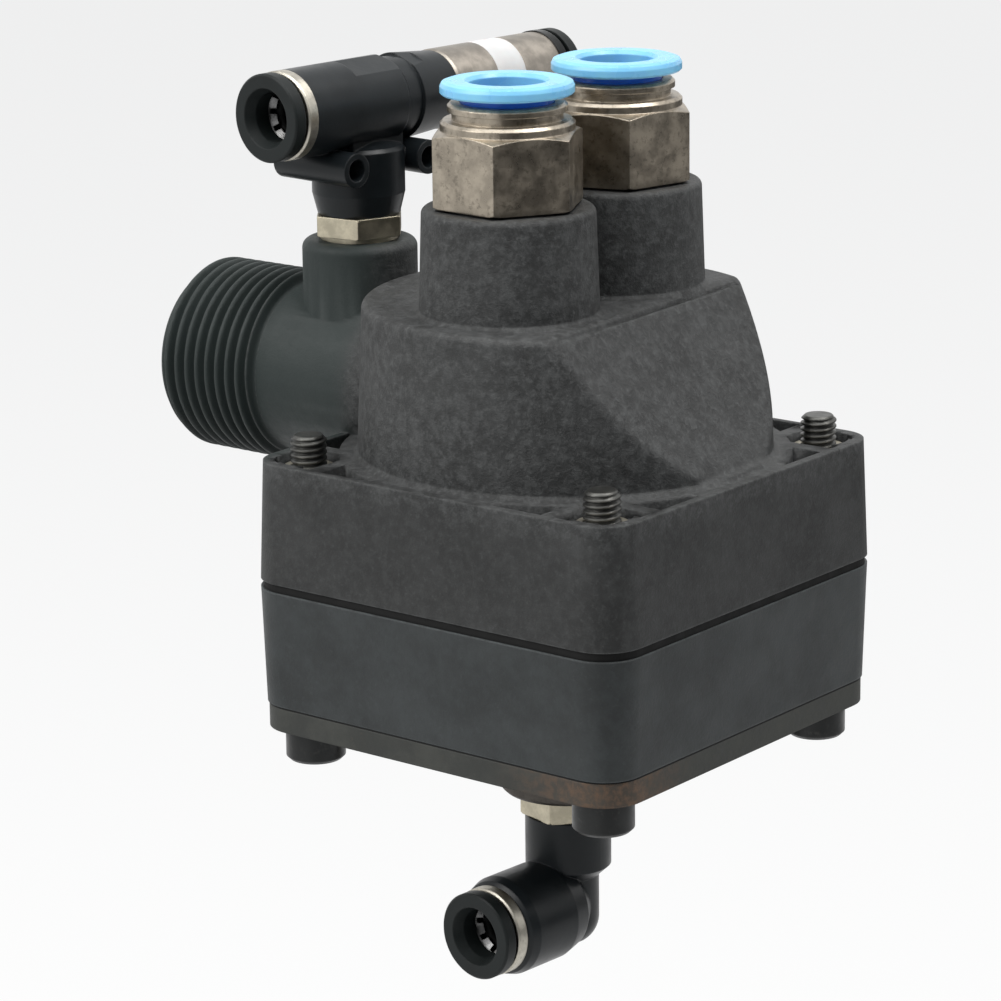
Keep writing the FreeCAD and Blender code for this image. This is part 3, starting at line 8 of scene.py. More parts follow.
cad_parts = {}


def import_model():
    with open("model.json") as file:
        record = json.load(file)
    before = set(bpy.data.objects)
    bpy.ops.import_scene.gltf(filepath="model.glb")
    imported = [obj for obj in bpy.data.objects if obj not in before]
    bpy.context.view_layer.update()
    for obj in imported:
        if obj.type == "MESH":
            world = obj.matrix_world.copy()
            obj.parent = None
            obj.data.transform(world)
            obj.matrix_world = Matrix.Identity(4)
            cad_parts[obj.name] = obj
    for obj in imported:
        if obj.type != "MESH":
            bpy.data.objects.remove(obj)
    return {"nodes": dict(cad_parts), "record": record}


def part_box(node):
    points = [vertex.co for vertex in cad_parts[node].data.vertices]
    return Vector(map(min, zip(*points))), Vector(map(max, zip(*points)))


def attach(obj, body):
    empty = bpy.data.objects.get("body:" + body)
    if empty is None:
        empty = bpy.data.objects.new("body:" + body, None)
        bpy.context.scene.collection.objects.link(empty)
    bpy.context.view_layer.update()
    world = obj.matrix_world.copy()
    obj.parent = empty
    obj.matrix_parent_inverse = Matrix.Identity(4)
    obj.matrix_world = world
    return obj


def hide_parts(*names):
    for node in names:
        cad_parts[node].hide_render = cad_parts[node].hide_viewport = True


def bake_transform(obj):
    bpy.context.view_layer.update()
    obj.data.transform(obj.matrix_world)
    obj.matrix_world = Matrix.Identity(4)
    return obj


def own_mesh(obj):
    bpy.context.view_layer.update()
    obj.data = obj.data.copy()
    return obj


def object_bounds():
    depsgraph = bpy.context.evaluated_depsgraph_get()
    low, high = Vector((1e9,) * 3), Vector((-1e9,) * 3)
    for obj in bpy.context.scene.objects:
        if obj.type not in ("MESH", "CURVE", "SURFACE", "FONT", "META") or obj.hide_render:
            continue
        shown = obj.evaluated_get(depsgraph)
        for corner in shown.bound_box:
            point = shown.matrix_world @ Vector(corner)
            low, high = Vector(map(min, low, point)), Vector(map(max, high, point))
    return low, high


# Pneumatic diaphragm valve, held by its outlet, as it looks in soft studio light.
# Metres, in the model's own frame. Sizes are named in millimetres and turned into metres by MM, except
# where a comment says metres.

MM = 0.001
WELD = 0.001

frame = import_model()
NODES = frame["nodes"]
SLOTS = {part["node"]: part["material_slot"] for part in frame["record"]["subparts"]}
cad_low, cad_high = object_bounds()

# Camera: the point that it looks at, where it stands from there, and its lens
AIM = Vector((122.54, -75.51, 8.25)) * MM
CAMERA_AZIMUTH = 38.403
CAMERA_ELEVATION = 15.073
CAMERA_DISTANCE = 561.04 * MM
CAMERA_ROLL = -0.666
FOCAL_LENGTH = 141.49
SENSOR_WIDTH = 36.0

X_AXIS = Vector((1, 0, 0))
Y_AXIS = Vector((0, 1, 0))
Z_AXIS = Vector((0, 0, 1))

# Outlet thread: coarse, with rounded crests
OUTLET_BORE = 12.5
THREAD_CREST = 16.6
THREAD_ROOT = 15.1
THREAD_LENGTH = 21.5
THREAD_PITCH = 2.309
THREAD_LEAD = 1.4
NECK_RADIUS = 14.9
# Steepness of its flanks, width of its trough, and the turns over which it fades into the neck
THREAD_FLANK = 1.25
THREAD_TROUGH = 0.06
THREAD_RUN_OUT = 0.6
# Its mesh: vertices round it, and rows to a turn
THREAD_COLUMNS = 192
THREAD_ROWS = 12
# How near a point has to lie to count as on an end of the thread, or a face as past it or past the bore
END_CLOSE = 0.1
FACE_CLOSE = 0.01
BORE_CLOSE = 0.05

# The ring at the rear riser's foot reaches past the top of the slope, where it is let down into the slope
REAR_RISER = Vector((76.5, 14.5, 18.4)) * MM
RING_RADIUS = 15.8
RING_OVERHANG = 15.2
RING_DROP = 1.2
# How near a point has to lie to the ring's radius and to its height
RING_CLOSE = 0.2
RING_LEVEL = 0.3

# Cap screws
SCREW_RADIUS = 3.0
SCREW_ROOT = 2.45
SCREW_PITCH = 1.0
SCREW_THREAD = 12.0
SCREW_FLANK = 1.3
SCREW_TROUGH = 0.1
# The tip narrows over its length, to less than the thread's root
SCREW_TIP = 0.7
SCREW_TIP_INSET = 0.15
SCREW_TIP_SPREAD = 0.7
SCREW_COLUMNS = 40
SCREW_ROWS = 10
HEAD_RADIUS = 5.0
HEAD_HEIGHT = 6.0
HEAD_EDGE = 0.6
SOCKET_ACROSS = 5.0
SOCKET_DEPTH = 3.0

# Shading of rebuilt pieces: edges sharper than this many degrees stay sharp, and large faces lead
SHARP_ANGLE = 28
FACE_WEIGHT = 90

# Floor: depth below the object in millimetres, half its side in metres, its paint, and the share of plain
# white that the camera sees in it
FLOOR_DROP = 120.0
FLOOR_HALF = 6.0
FLOOR_PAINT = (0.80, 0.80, 0.80)
FLOOR_WHITE = 0.80

# Soft light from all round
WORLD_LIGHT = 0.35
WORLD_TINT = (0.93, 0.97, 1.0)
TARGET = (cad_low + cad_high) / 2
# Softboxes: name, azimuth and elevation from the object, distance in metres, side in metres, watts, tint
SOFTBOXES = (
    ("key", -25.0, 42.0, 0.9, 0.6, 5.2, (1.0, 0.99, 0.97)),
    ("top", 40.0, 80.0, 0.9, 0.8, 5.2, (1.0, 1.0, 1.0)),
    ("rim", 122.0, 62.0, 1.0, 0.4, 4.0, (1.0, 0.98, 0.96)),
)
# Dark cloths: name, azimuth, distance, width, lower and upper edge, all in metres but the azimuth
FLAGS = (
    ("front_flag", 62.0, 0.60, 1.0, -0.208, 0.25),
    ("right_flag", 120.0, 0.75, 0.8, -0.208, 0.0),
    ("back_flag", 186.0, 0.70, 0.9, -0.208, 0.0),
)
CLOTH_PAINT = (0.04, 0.04, 0.04)
CLOTH_ROUGH = 0.9


# Helpers for materials

# How well the rounded normal matches the plain one on even faces, and on an edge
EDGE_MATCH = (0.985, 0.85)


def shade(colour, share):
    """The colour made darker or paler."""
    return tuple(part * share for part in colour)


class Surface:
    """A node material being put together. Feature sizes are in millimetres on the object."""

    def __init__(self, name, **constants):
        self.material = bpy.data.materials.new(name)
        self.material.use_nodes = True
        self.tree = self.material.node_tree
        self.tree.nodes.clear()
        self.shader = self.add("ShaderNodeBsdfPrincipled")
        output = self.add("ShaderNodeOutputMaterial")
        self.link(self.shader.outputs["BSDF"], output.inputs["Surface"])
        self.places = self.add("ShaderNodeTexCoord").outputs["Object"]
        self.normal = None
        for socket, value in constants.items():
            self.shader.inputs[socket.replace("_", " ")].default_value = value

    def add(self, kind, **settings):
        node = self.tree.nodes.new(kind)
        for name, value in settings.items():
            setattr(node, name, value)
        return node

    def link(self, source, target):
        self.tree.links.new(source, target)

    def feed(self, target, value):
        """Links a socket or sets a plain value."""
        if isinstance(value, bpy.types.NodeSocket):
            self.link(value, target)
        else:
            target.default_value = value

    def noise(self, grain, detail=3.0, stretch=(1, 1, 1), rough=0.55):
        """Soft random grey, with features about grain millimetres across."""
        mapping = self.add("ShaderNodeMapping")
        mapping.inputs["Scale"].default_value = stretch
        self.link(self.places, mapping.inputs["Vector"])
        node = self.add("ShaderNodeTexNoise")
        self.link(mapping.outputs["Vector"], node.inputs["Vector"])
        node.inputs["Scale"].default_value = 1 / (grain * MM)
        node.inputs["Detail"].default_value = detail
        node.inputs["Roughness"].default_value = rough
        return node.outputs["Fac"]

    def spread(self, value, low, high, start=0.0, end=1.0):
        """Stretches low..high to start..end, held at both ends."""
        node = self.add("ShaderNodeMapRange", interpolation_type="SMOOTHSTEP")
        self.feed(node.inputs["Value"], value)
        for name, number in (("From Min", low), ("From Max", high), ("To Min", start), ("To Max", end)):
            node.inputs[name].default_value = number
        return node.outputs["Result"]

    def combine(self, operation, first, second):
        node = self.add("ShaderNodeMath", operation=operation)
        self.feed(node.inputs[0], first)
        self.feed(node.inputs[1], second)
        return node.outputs[0]

    def times(self, first, second):
        return self.combine("MULTIPLY", first, second)

    def plus(self, first, second):
        return self.combine("ADD", first, second)

    def blend(self, factor, first, second):
        """Mixes two colours."""
        node = self.add("ShaderNodeMix", data_type="RGBA")
        self.feed(node.inputs["Factor"], factor)
        for socket, value in (("A", first), ("B", second)):
            target = [s for s in node.inputs if s.name == socket and s.type == "RGBA"][0]
            self.feed(target, value if isinstance(value, bpy.types.NodeSocket) else (*value, 1.0))
        return [s for s in node.outputs if s.type == "RGBA"][0]

    def along(self, axis):
        """The place along one axis, in metres."""
        node = self.add("ShaderNodeSeparateXYZ")
        self.link(self.places, node.inputs[0])
        return node.outputs[axis]

    def soften(self, radius):
        """Rounds sharp edges by radius millimetres."""
        node = self.add("ShaderNodeBevel", samples=4)
        node.inputs["Radius"].default_value = radius * MM
        self.normal = node.outputs["Normal"]

    def edges(self, radius):
        """Share that grows from 0 on even faces to 1 along edges, where the rounded normal leans away."""
        rounded = self.add("ShaderNodeBevel", samples=8)
        rounded.inputs["Radius"].default_value = radius * MM
        plain = self.add("ShaderNodeNewGeometry")
        match = self.add("ShaderNodeVectorMath", operation="DOT_PRODUCT")
        self.link(rounded.outputs["Normal"], match.inputs[0])
        self.link(plain.outputs["Normal"], match.inputs[1])
        return self.spread(match.outputs["Value"], *EDGE_MATCH)

    def bump(self, value, depth, strength=1.0):
        """Adds relief of depth millimetres."""
        node = self.add("ShaderNodeBump")
        node.inputs["Distance"].default_value = depth * MM
        node.inputs["Strength"].default_value = strength
        self.link(value, node.inputs["Height"])
        if self.normal is not None:
            self.link(self.normal, node.inputs["Normal"])
        self.normal = node.outputs["Normal"]

    def finish(self, colour, rough):
        self.feed(self.shader.inputs["Base Color"], colour)
        self.feed(self.shader.inputs["Roughness"], rough)
        if self.normal is not None:
            self.link(self.normal, self.shader.inputs["Normal"])
        return self.material


def housing_plastic(name, base, flecks, grain, gloss, shine, smooth_part=None, calm_part=None):
    """Glass-filled moulding: grey-black and mottled, with pale flecks, and edges painted paler: partly wear,
    partly a painted highlight.

    Up to the X range smooth_part it is plain. Below the Z range calm_part it is darker and less mottled.
    """
    s = Surface(name, Specular_IOR_Level=shine)
    s.soften(0.6)
    cloud = s.noise(13.0, 4.0, rough=0.6)
    mottle = s.noise(grain, 6.0, rough=0.75)
    grit = s.noise(0.45, 3.0)
    amount = flecks
    colour = s.blend(s.spread(cloud, 0.32, 0.68), shade(base, 0.62), base)
    if smooth_part:
        past_side = s.spread(s.along("X"), *BLOCK_SIDE)
        below_deck = s.spread(s.along("Z"), *calm_part, 1.0, 0.0)
        beside_neck = s.times(past_side, below_deck)
        rough_part = s.spread(s.plus(s.spread(s.along("X"), *smooth_part), beside_neck), 0.0, 1.0)
        amount = s.times(rough_part, flecks)
        colour = s.blend(rough_part, NECK_COLOUR, colour)
    if calm_part:
        amount = s.times(s.spread(s.along("Z"), *calm_part, 0.35, 1.0), amount)
        colour = s.blend(s.spread(s.along("Z"), *calm_part, 0.22, 0.0), colour, (0.0, 0.0, 0.0))
    colour = s.blend(s.times(s.spread(mottle, 0.38, 0.66), amount), colour, shade(base, 2.1))
    fleck = s.times(s.spread(s.noise(0.9, 3.0, rough=0.7), 0.56, 0.74), amount)
    colour = s.blend(s.times(fleck, 0.45), colour, shade(base, 3.0))
    # Paler along rounded edges: partly wear, partly a painted highlight along the edges
    worn = s.times(s.edges(0.7), s.spread(mottle, 0.35, 0.60, 0.10, 0.50))
    colour = s.blend(worn, colour, shade(base, 3.6))
    s.bump(s.times(mottle, amount), 0.34)
    s.bump(grit, 0.05, 0.8)
    rough = s.plus(s.spread(cloud, 0.3, 0.7, gloss + 0.08, gloss), s.spread(mottle, 0.3, 0.7, 0.0, 0.10))
    return s.finish(colour, rough)


def fitting_plastic(name, base, rough_low, rough_high, shine=0.35):
    """Smooth satin moulding with a slight orange peel."""
    s = Surface(name, Specular_IOR_Level=shine)
    s.soften(0.35)
    cloud = s.noise(6.0, 3.0)
    fine = s.noise(0.8, 3.0)
    colour = s.blend(s.spread(cloud, 0.3, 0.7), shade(base, 0.75), base)
    s.bump(fine, 0.03, 0.5)
    return s.finish(colour, s.spread(cloud, 0.3, 0.7, rough_low, rough_high))


def coloured_plastic(name, deep, pale, rough, painted_light_part=None):
    """Moulding with a little light inside it. The last argument, if given, is the height range over which
    deep turns to pale: above it the pale colour is painted light.
    """
    s = Surface(name, Specular_IOR_Level=0.5, Subsurface_Weight=0.2, Subsurface_Scale=1.0 * MM)
    s.shader.inputs["Subsurface Radius"].default_value = (0.4, 0.8, 1.0)
    s.soften(0.3)
    cloud = s.noise(5.0, 2.0)
    share = s.spread(cloud, 0.3, 0.7)
    # Above that height range the colour turns pale: painted light on the flange
    if painted_light_part:
        share = s.times(s.spread(s.along("Z"), *painted_light_part), s.spread(cloud, 0.3, 0.7, 0.85, 1.0))
    colour = s.blend(share, deep, pale)
    s.bump(s.noise(1.2, 2.0), 0.02, 0.5)
    return s.finish(colour, s.spread(cloud, 0.3, 0.7, rough, rough + 0.1))


def plated_metal(name, base, rough, grain, pits=0.0, brushed=(1, 1, 1)):
    """Plated or machined metal: uneven sheen, fine grain and small dark pits."""
    s = Surface(name, Metallic=1.0)
    s.soften(0.25)
    cloud = s.noise(3.5, 4.0, rough=0.65)
    fine = s.noise(grain, 4.0, stretch=brushed, rough=0.7)
    colour = s.blend(s.spread(cloud, 0.35, 0.65), shade(base, 0.72), base)
    pit = s.times(s.spread(fine, 0.52, 0.68), pits)
    colour = s.blend(pit, colour, shade(base, 0.25))
    s.bump(fine, 0.03, 0.6)
    return s.finish(colour, s.plus(s.spread(cloud, 0.3, 0.7, rough, rough + 0.1), s.times(fine, 0.12)))


def dark_steel(name, base, worn, rough, bare, bare_part):
    """Blackened steel with slightly brighter worn spots, bare over the height range bare_part."""
    s = Surface(name, Metallic=0.4, Specular_IOR_Level=0.4)
    s.soften(0.5)
    cloud = s.noise(2.5, 4.0)
    wear = s.spread(s.noise(1.4, 5.0, rough=0.7), 0.54, 0.78)
    colour = s.blend(wear, base, worn)
    share = s.spread(s.along("Z"), *bare_part)
    colour = s.blend(share, colour, bare)
    s.link(s.spread(share, 0.0, 1.0, 0.4, 0.9), s.shader.inputs["Metallic"])
    s.bump(cloud, 0.05, 0.5)
    return s.finish(colour, s.spread(cloud, 0.3, 0.7, rough, rough + 0.15))


def plate_steel():
    """Cut steel edge, dull grey-brown, with rust towards the front corner."""
    s = Surface("plate_steel", Metallic=0.3, Specular_IOR_Level=0.4)
    s.soften(0.4)
    cloud = s.noise(6.0, 5.0, rough=0.65)
    spots = s.noise(1.3, 5.0, rough=0.7)
    colour = s.blend(s.spread(cloud, 0.35, 0.7), (0.034, 0.036, 0.033), (0.060, 0.062, 0.056))
    right = s.spread(s.along("X"), *RUST_RIGHT)
    front = s.spread(s.along("Y"), *RUST_FRONT)
    rust = s.times(s.times(right, front), s.spread(spots, 0.38, 0.66, 0.25, 1.0))
    colour = s.blend(rust, colour, (0.125, 0.078, 0.050))
    thin_rust = s.times(s.spread(spots, 0.60, 0.74), 0.35)
    colour = s.blend(thin_rust, colour, (0.085, 0.064, 0.048))
    s.bump(spots, 0.12, 0.7)
    return s.finish(colour, s.spread(cloud, 0.3, 0.7, 0.5, 0.75))


def sheet_rubber(name, base):
    """Matt rubber or fibre with a faint dusty bloom."""
    s = Surface(name, Specular_IOR_Level=0.2)
    cloud = s.noise(3.0, 4.0)
    colour = s.blend(s.spread(cloud, 0.35, 0.7), base, shade(base, 1.8))
    s.bump(s.noise(0.5, 3.0), 0.04, 0.6)
    return s.finish(colour, s.spread(cloud, 0.3, 0.7, 0.6, 0.85))


# Ranges over which one finish turns to another, in metres of the model's frame.
# The outlet's neck and thread are smooth and greenish, up to where the drum begins
NECK_COLOUR = (0.018, 0.025, 0.024)
NECK_END = (0.037, 0.046)
# The square part's side, which stands across the neck, has the square part's finish
BLOCK_SIDE = (0.0376, 0.0384)
# The square part below the deck is calmer and darker than the drum
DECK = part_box("threaded_inserts")[1].z
CALM_PART = (DECK - 4.0 * MM, DECK + 2.0 * MM)
# Above the foot of a blue collar's flange its colour is painted pale: painted light on and through the thin
# flange
FLANGE_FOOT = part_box("front_release_collar")[1].z - 2.9 * MM
PAINTED_LIGHT_PART = (FLANGE_FOOT, FLANGE_FOOT + 0.6 * MM)
# The screws' tips, which stand out of the bosses, are bare
SCREW_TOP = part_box("cap_screws")[1].z
BARE_PART = (SCREW_TOP - 8.0 * MM, SCREW_TOP - 7.0 * MM)
# The plate rusts towards its front corner on the side away from the outlet
RUST_RIGHT = (0.088, 0.112)
RUST_FRONT = (-0.014, -0.034)

MATERIALS = {
    "upper_plastic": housing_plastic(
        "upper_plastic", (0.032, 0.033, 0.033), 0.85, 1.8, 0.50, 0.32, NECK_END, CALM_PART
    ),
    "lower_plastic": housing_plastic("lower_plastic", (0.025, 0.029, 0.030), 0.25, 3.0, 0.44, 0.38),
    "fitting_plastic": fitting_plastic("fitting_plastic", (0.010, 0.013, 0.015), 0.30, 0.42, 0.25),
    "black_collar": fitting_plastic("black_collar", (0.013, 0.016, 0.016), 0.40, 0.52, 0.18),
    "black_cap": fitting_plastic("black_cap", (0.007, 0.008, 0.008), 0.25, 0.35, 0.22),
    "blue_plastic": coloured_plastic(
        "blue_plastic", (0.010, 0.17, 0.84), (0.22, 0.57, 0.80), 0.26, PAINTED_LIGHT_PART
    ),
    "white_plastic": coloured_plastic("white_plastic", (0.62, 0.62, 0.62), (0.68, 0.68, 0.68), 0.45),
    "poppet_plastic": coloured_plastic("poppet_plastic", (0.60, 0.58, 0.50), (0.70, 0.68, 0.60), 0.40),
    "nickel": plated_metal("nickel", (0.56, 0.51, 0.39), 0.26, 0.5),
    "inlet_nickel": plated_metal("inlet_nickel", (0.42, 0.37, 0.30), 0.22, 1.0, 0.5),
    "sleeve_nickel": plated_metal("sleeve_nickel", (0.34, 0.31, 0.27), 0.30, 0.5),
    "ring_steel": plated_metal("ring_steel", (0.56, 0.53, 0.46), 0.28, 0.6, 0.3),
    # bright_steel gets a dark grey so that the bores it sits in read nearly black: painted shade of the bores
    "bright_steel": plated_metal("bright_steel", (0.22, 0.22, 0.22), 0.18, 0.5),
    "spring_steel": plated_metal("spring_steel", (0.50, 0.50, 0.50), 0.25, 0.5),
    "plate_aluminium": plated_metal("plate_aluminium", (0.70, 0.70, 0.71), 0.32, 0.6, brushed=(1, 1, 4)),
    "insert_metal": plated_metal("insert_metal", (0.62, 0.58, 0.48), 0.30, 0.6, 0.3),
    "bush_steel": plated_metal("bush_steel", (0.11, 0.10, 0.09), 0.45, 0.7, 0.5),
    "screw_steel": dark_steel(
        "screw_steel", (0.018, 0.019, 0.019), (0.040, 0.040, 0.038), 0.30, (0.085, 0.085, 0.080), BARE_PART
    ),
    "plate_steel": plate_steel(),
    "gasket": sheet_rubber("gasket", (0.006, 0.006, 0.006)),
    "rubber_sheet": sheet_rubber("rubber_sheet", (0.006, 0.006, 0.006)),
    "seal_rubber": sheet_rubber("seal_rubber", (0.015, 0.015, 0.015)),
}


def dress(piece, slot):
    """Gives a piece one finish."""
    piece.data.materials.clear()
    piece.data.materials.append(MATERIALS[slot])


for node, piece in NODES.items():
    dress(piece, SLOTS[node])


# Helpers for meshes

def merged_copy(node):
    """A copy of a node's mesh with its split vertices joined, as an open bmesh."""
    mesh = bmesh.new()
    mesh.from_mesh(NODES[node].data)
    bmesh.ops.remove_doubles(mesh, verts=mesh.verts, dist=WELD * MM)
    return mesh


def placed(name, data):
    """An object in the scene that shows data."""
    piece = bpy.data.objects.new(name, data)
    bpy.context.scene.collection.objects.link(piece)
    return piece


def piece_from(mesh, name, slot, body, *nodes, even=True):
    """Turns a bmesh into a shaded piece that rides on a body and stands for nodes."""
    bmesh.ops.recalc_face_normals(mesh, faces=mesh.faces)
    data = bpy.data.meshes.new(name)
    mesh.to_mesh(data)
    mesh.free()
    for face in data.polygons:
        face.use_smooth = True
    data.set_sharp_from_angle(angle=math.radians(SHARP_ANGLE))
    piece = placed(name, data)
    dress(piece, slot)
    if even:
        shading = piece.modifiers.new("even_shading", "WEIGHTED_NORMAL")
        shading.keep_sharp = True
        shading.weight = FACE_WEIGHT
    if nodes:
        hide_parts(*nodes)
    if body:
        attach(piece, body)
    return piece


def skin(mesh, grid):
    """Joins rings of equally many vertices by quads, each ring to the next."""
    for near, far in zip(grid, grid[1:]):
        for column in range(len(near)):
            after = (column + 1) % len(near)
            mesh.faces.new((near[column], near[after], far[after], far[column]))


def ring_angle(vertex, centre, across, along):
    """Angle of a vertex round a centre, counted from across towards along."""
    offset = vertex.co - centre
    return math.atan2(offset.dot(along), offset.dot(across)) % (2 * math.pi)


def stitch(mesh, first, second, centre, across, along):
    """Joins two rings of vertices round one axis by a strip of triangles."""
    def ordered(ring):
        return sorted(ring, key=lambda vertex: ring_angle(vertex, centre, across, along))

    def turn(ring, number):
        angle = ring_angle(ring[number % len(ring)], centre, across, along)
        return angle + 2 * math.pi * (number // len(ring))

    first = ordered(first)
    second = ordered(second)
    i = 0
    j = 0
    while i < len(first) or j < len(second):
        a = first[i % len(first)]
        b = second[j % len(second)]
        step_first = j >= len(second) or (i < len(first) and turn(first, i + 1) <= turn(second, j + 1))
        if step_first:
            mesh.faces.new((a, first[(i + 1) % len(first)], b))
            i += 1
        else:
            mesh.faces.new((a, second[(j + 1) % len(second)], b))
            j += 1


# Upper housing with its real outlet thread

def off_axis(point):
    """Distance from the outlet's axis, in millimetres."""
    return math.hypot(point.y, point.z) / MM


def smooth(value):
    """Eases a share from 0 to 1, held at both ends."""
    value = min(max(value, 0.0), 1.0)
    return value * value * (3 - 2 * value)


def ridge_share(station, turn, pitch, flank, trough):
    """How far a thread stands out at a station along it, at a share of a turn: root is 0 and crest 1."""
    phase = (station / pitch - turn) % 1.0
    return smooth(min(phase, 1 - phase) * 2 * flank - trough)


def thread_radius(station, turn):
    """Radius of the outlet thread at a station along it, at a share of a turn."""
    ridge = ridge_share(station, turn, THREAD_PITCH, THREAD_FLANK, THREAD_TROUGH)
    radius = THREAD_ROOT + (THREAD_CREST - THREAD_ROOT) * ridge
    lead = smooth(station / THREAD_LEAD)
    run_out = smooth((THREAD_LENGTH - station) / (THREAD_PITCH * THREAD_RUN_OUT))
    start = THREAD_ROOT + (radius - THREAD_ROOT) * lead
    return NECK_RADIUS + (start - NECK_RADIUS) * run_out


def cut_outlet_skin(mesh):
    """Takes away the outlet's plain outer skin, up to its neck."""
    doomed = []
    for face in mesh.faces:
        stations = [vertex.co.x / MM for vertex in face.verts]
        centre = face.calc_center_median()
        if max(stations) < THREAD_LENGTH + FACE_CLOSE and off_axis(centre) > OUTLET_BORE + BORE_CLOSE:
            doomed.append(face)
    bmesh.ops.delete(mesh, geom=doomed, context="FACES")


def lower_riser_ring(mesh):
    """Lets the ring at the rear riser's foot down into the slope, where it reaches past it."""
    for vertex in mesh.verts:
        offset = (vertex.co - REAR_RISER) / MM
        on_ring = abs(offset.z) < RING_LEVEL and abs(offset.xy.length - RING_RADIUS) < RING_CLOSE
        if on_ring and offset.x > RING_OVERHANG:
            vertex.co.z -= RING_DROP * MM


def thread_rings(mesh):
    """Rings of vertices from the outlet's mouth to its neck, on the thread's ridges and troughs."""
    rows = round(THREAD_LENGTH / THREAD_PITCH * THREAD_ROWS)
    grid = []
    for row in range(rows + 1):
        station = THREAD_LENGTH * row / rows
        ring = []
        for column in range(THREAD_COLUMNS):
            turn = column / THREAD_COLUMNS
            radius = thread_radius(station, turn)
            angle = 2 * math.pi * turn
            place = Vector((station, radius * math.cos(angle), radius * math.sin(angle))) * MM
            ring.append(mesh.verts.new(place))
        grid.append(ring)
    return grid


def threaded_housing():
    """The upper housing with turns of thread in place of the outlet's plain skin."""
    mesh = merged_copy("upper_body")
    cut_outlet_skin(mesh)
    lower_riser_ring(mesh)
    loose = [edge for edge in mesh.edges if edge.is_boundary]
    mouth = {v for edge in loose for v in edge.verts if v.co.x < END_CLOSE * MM}
    foot = {v for edge in loose for v in edge.verts if v.co.x > (THREAD_LENGTH - END_CLOSE) * MM}
    grid = thread_rings(mesh)
    skin(mesh, grid)
    for ring, edge in ((grid[0], mouth), (grid[-1], foot)):
        stitch(mesh, ring, list(edge), Vector((ring[0].co.x, 0, 0)), Y_AXIS, Z_AXIS)
    return piece_from(mesh, "upper_housing", "upper_plastic", "housing", "upper_body")


# Cap screws with threaded tips

def screw_column(bottom, top):
    """Rings of a screw's surface from its head to its tip, each a height and a radius function."""
    thread_start = top - SCREW_THREAD
    rings = [
        (bottom, lambda turn: HEAD_RADIUS - HEAD_EDGE),
        (bottom + HEAD_EDGE, lambda turn: HEAD_RADIUS),
        (bottom + HEAD_HEIGHT, lambda turn: HEAD_RADIUS),
        (bottom + HEAD_HEIGHT, lambda turn: SCREW_RADIUS),
        (thread_start, lambda turn: SCREW_RADIUS),
    ]
    count = round(SCREW_THREAD / SCREW_PITCH * SCREW_ROWS)
    for number in range(1, count + 1):
        height = thread_start + SCREW_THREAD * number / count

        def radius(turn, height=height):
            ridge = ridge_share(height, turn, SCREW_PITCH, SCREW_FLANK, SCREW_TROUGH)
            limit = SCREW_ROOT - SCREW_TIP_INSET + (top - height) / SCREW_TIP * SCREW_TIP_SPREAD
            return min(SCREW_ROOT + (SCREW_RADIUS - SCREW_ROOT) * ridge, limit)

        rings.append((height, radius))
    return rings


def add_socket(mesh, x, y, bottom):
    """Adds the hexagon socket in a screw's head, and gives the corners of its mouth."""
    corner = SOCKET_ACROSS / math.sqrt(3)
    mouth = []
    base = []
    for number in range(6):
        angle = math.pi / 3 * number
        place = Vector((x + corner * math.cos(angle), y + corner * math.sin(angle), bottom))
        mouth.append(mesh.verts.new(place * MM))
        base.append(mesh.verts.new((place + Z_AXIS * SOCKET_DEPTH) * MM))
    skin(mesh, [mouth, base])
    mesh.faces.new(base)
    return mouth


def add_screw(mesh, x, y, bottom, top):
    """Adds one screw that stands at x, y from bottom to top."""
    grid = []
    for height, radius in screw_column(bottom, top):
        ring = []
        for column in range(SCREW_COLUMNS):
            turn = column / SCREW_COLUMNS
            angle = 2 * math.pi * turn
            across = radius(turn)
            place = Vector((x + across * math.cos(angle), y + across * math.sin(angle), height)) * MM
            ring.append(mesh.verts.new(place))
        grid.append(ring)
    skin(mesh, grid)
    tip = mesh.verts.new(Vector((x, y, top)) * MM)
    for column in range(SCREW_COLUMNS):
        mesh.faces.new((grid[-1][column], grid[-1][(column + 1) % SCREW_COLUMNS], tip))
    mouth = add_socket(mesh, x, y, bottom)
    stitch(mesh, grid[0], mouth, Vector((x, y, bottom)) * MM, X_AXIS, Y_AXIS)


def cap_screws():
    """The four screws, with threaded tips and hexagon sockets."""
    low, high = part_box("cap_screws")
    mesh = bmesh.new()
    for x in (low.x / MM + HEAD_RADIUS, high.x / MM - HEAD_RADIUS):
        for y in (low.y / MM + HEAD_RADIUS, high.y / MM - HEAD_RADIUS):
            add_screw(mesh, x, y, low.z / MM, high.z / MM)
    return piece_from(mesh, "threaded_cap_screws", "screw_steel", "housing", "cap_screws")


# Rubber and springs, rebuilt from their nodes' meshes

def diaphragm():
    """The rubber sheet, rebuilt from its node's mesh, on no body, with its place baked into the mesh."""
    sheet_mesh = merged_copy("diaphragm")
    piece = piece_from(sheet_mesh, "rubber_diaphragm", "rubber_sheet", None, "diaphragm", even=False)
    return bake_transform(piece)


def soft_spring(node, name, body):
    """A coil spring rebuilt from its node's mesh, with mesh data of its own, riding on a body."""
    piece = piece_from(merged_copy(node), name, "spring_steel", body, node, even=False)
    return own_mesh(piece)


threaded_housing()
cap_screws()
diaphragm()
soft_spring("return_spring", "coil_return_spring", "housing")
soft_spring("check_spring", "coil_check_spring", "tee")


# Floor, backdrop and light

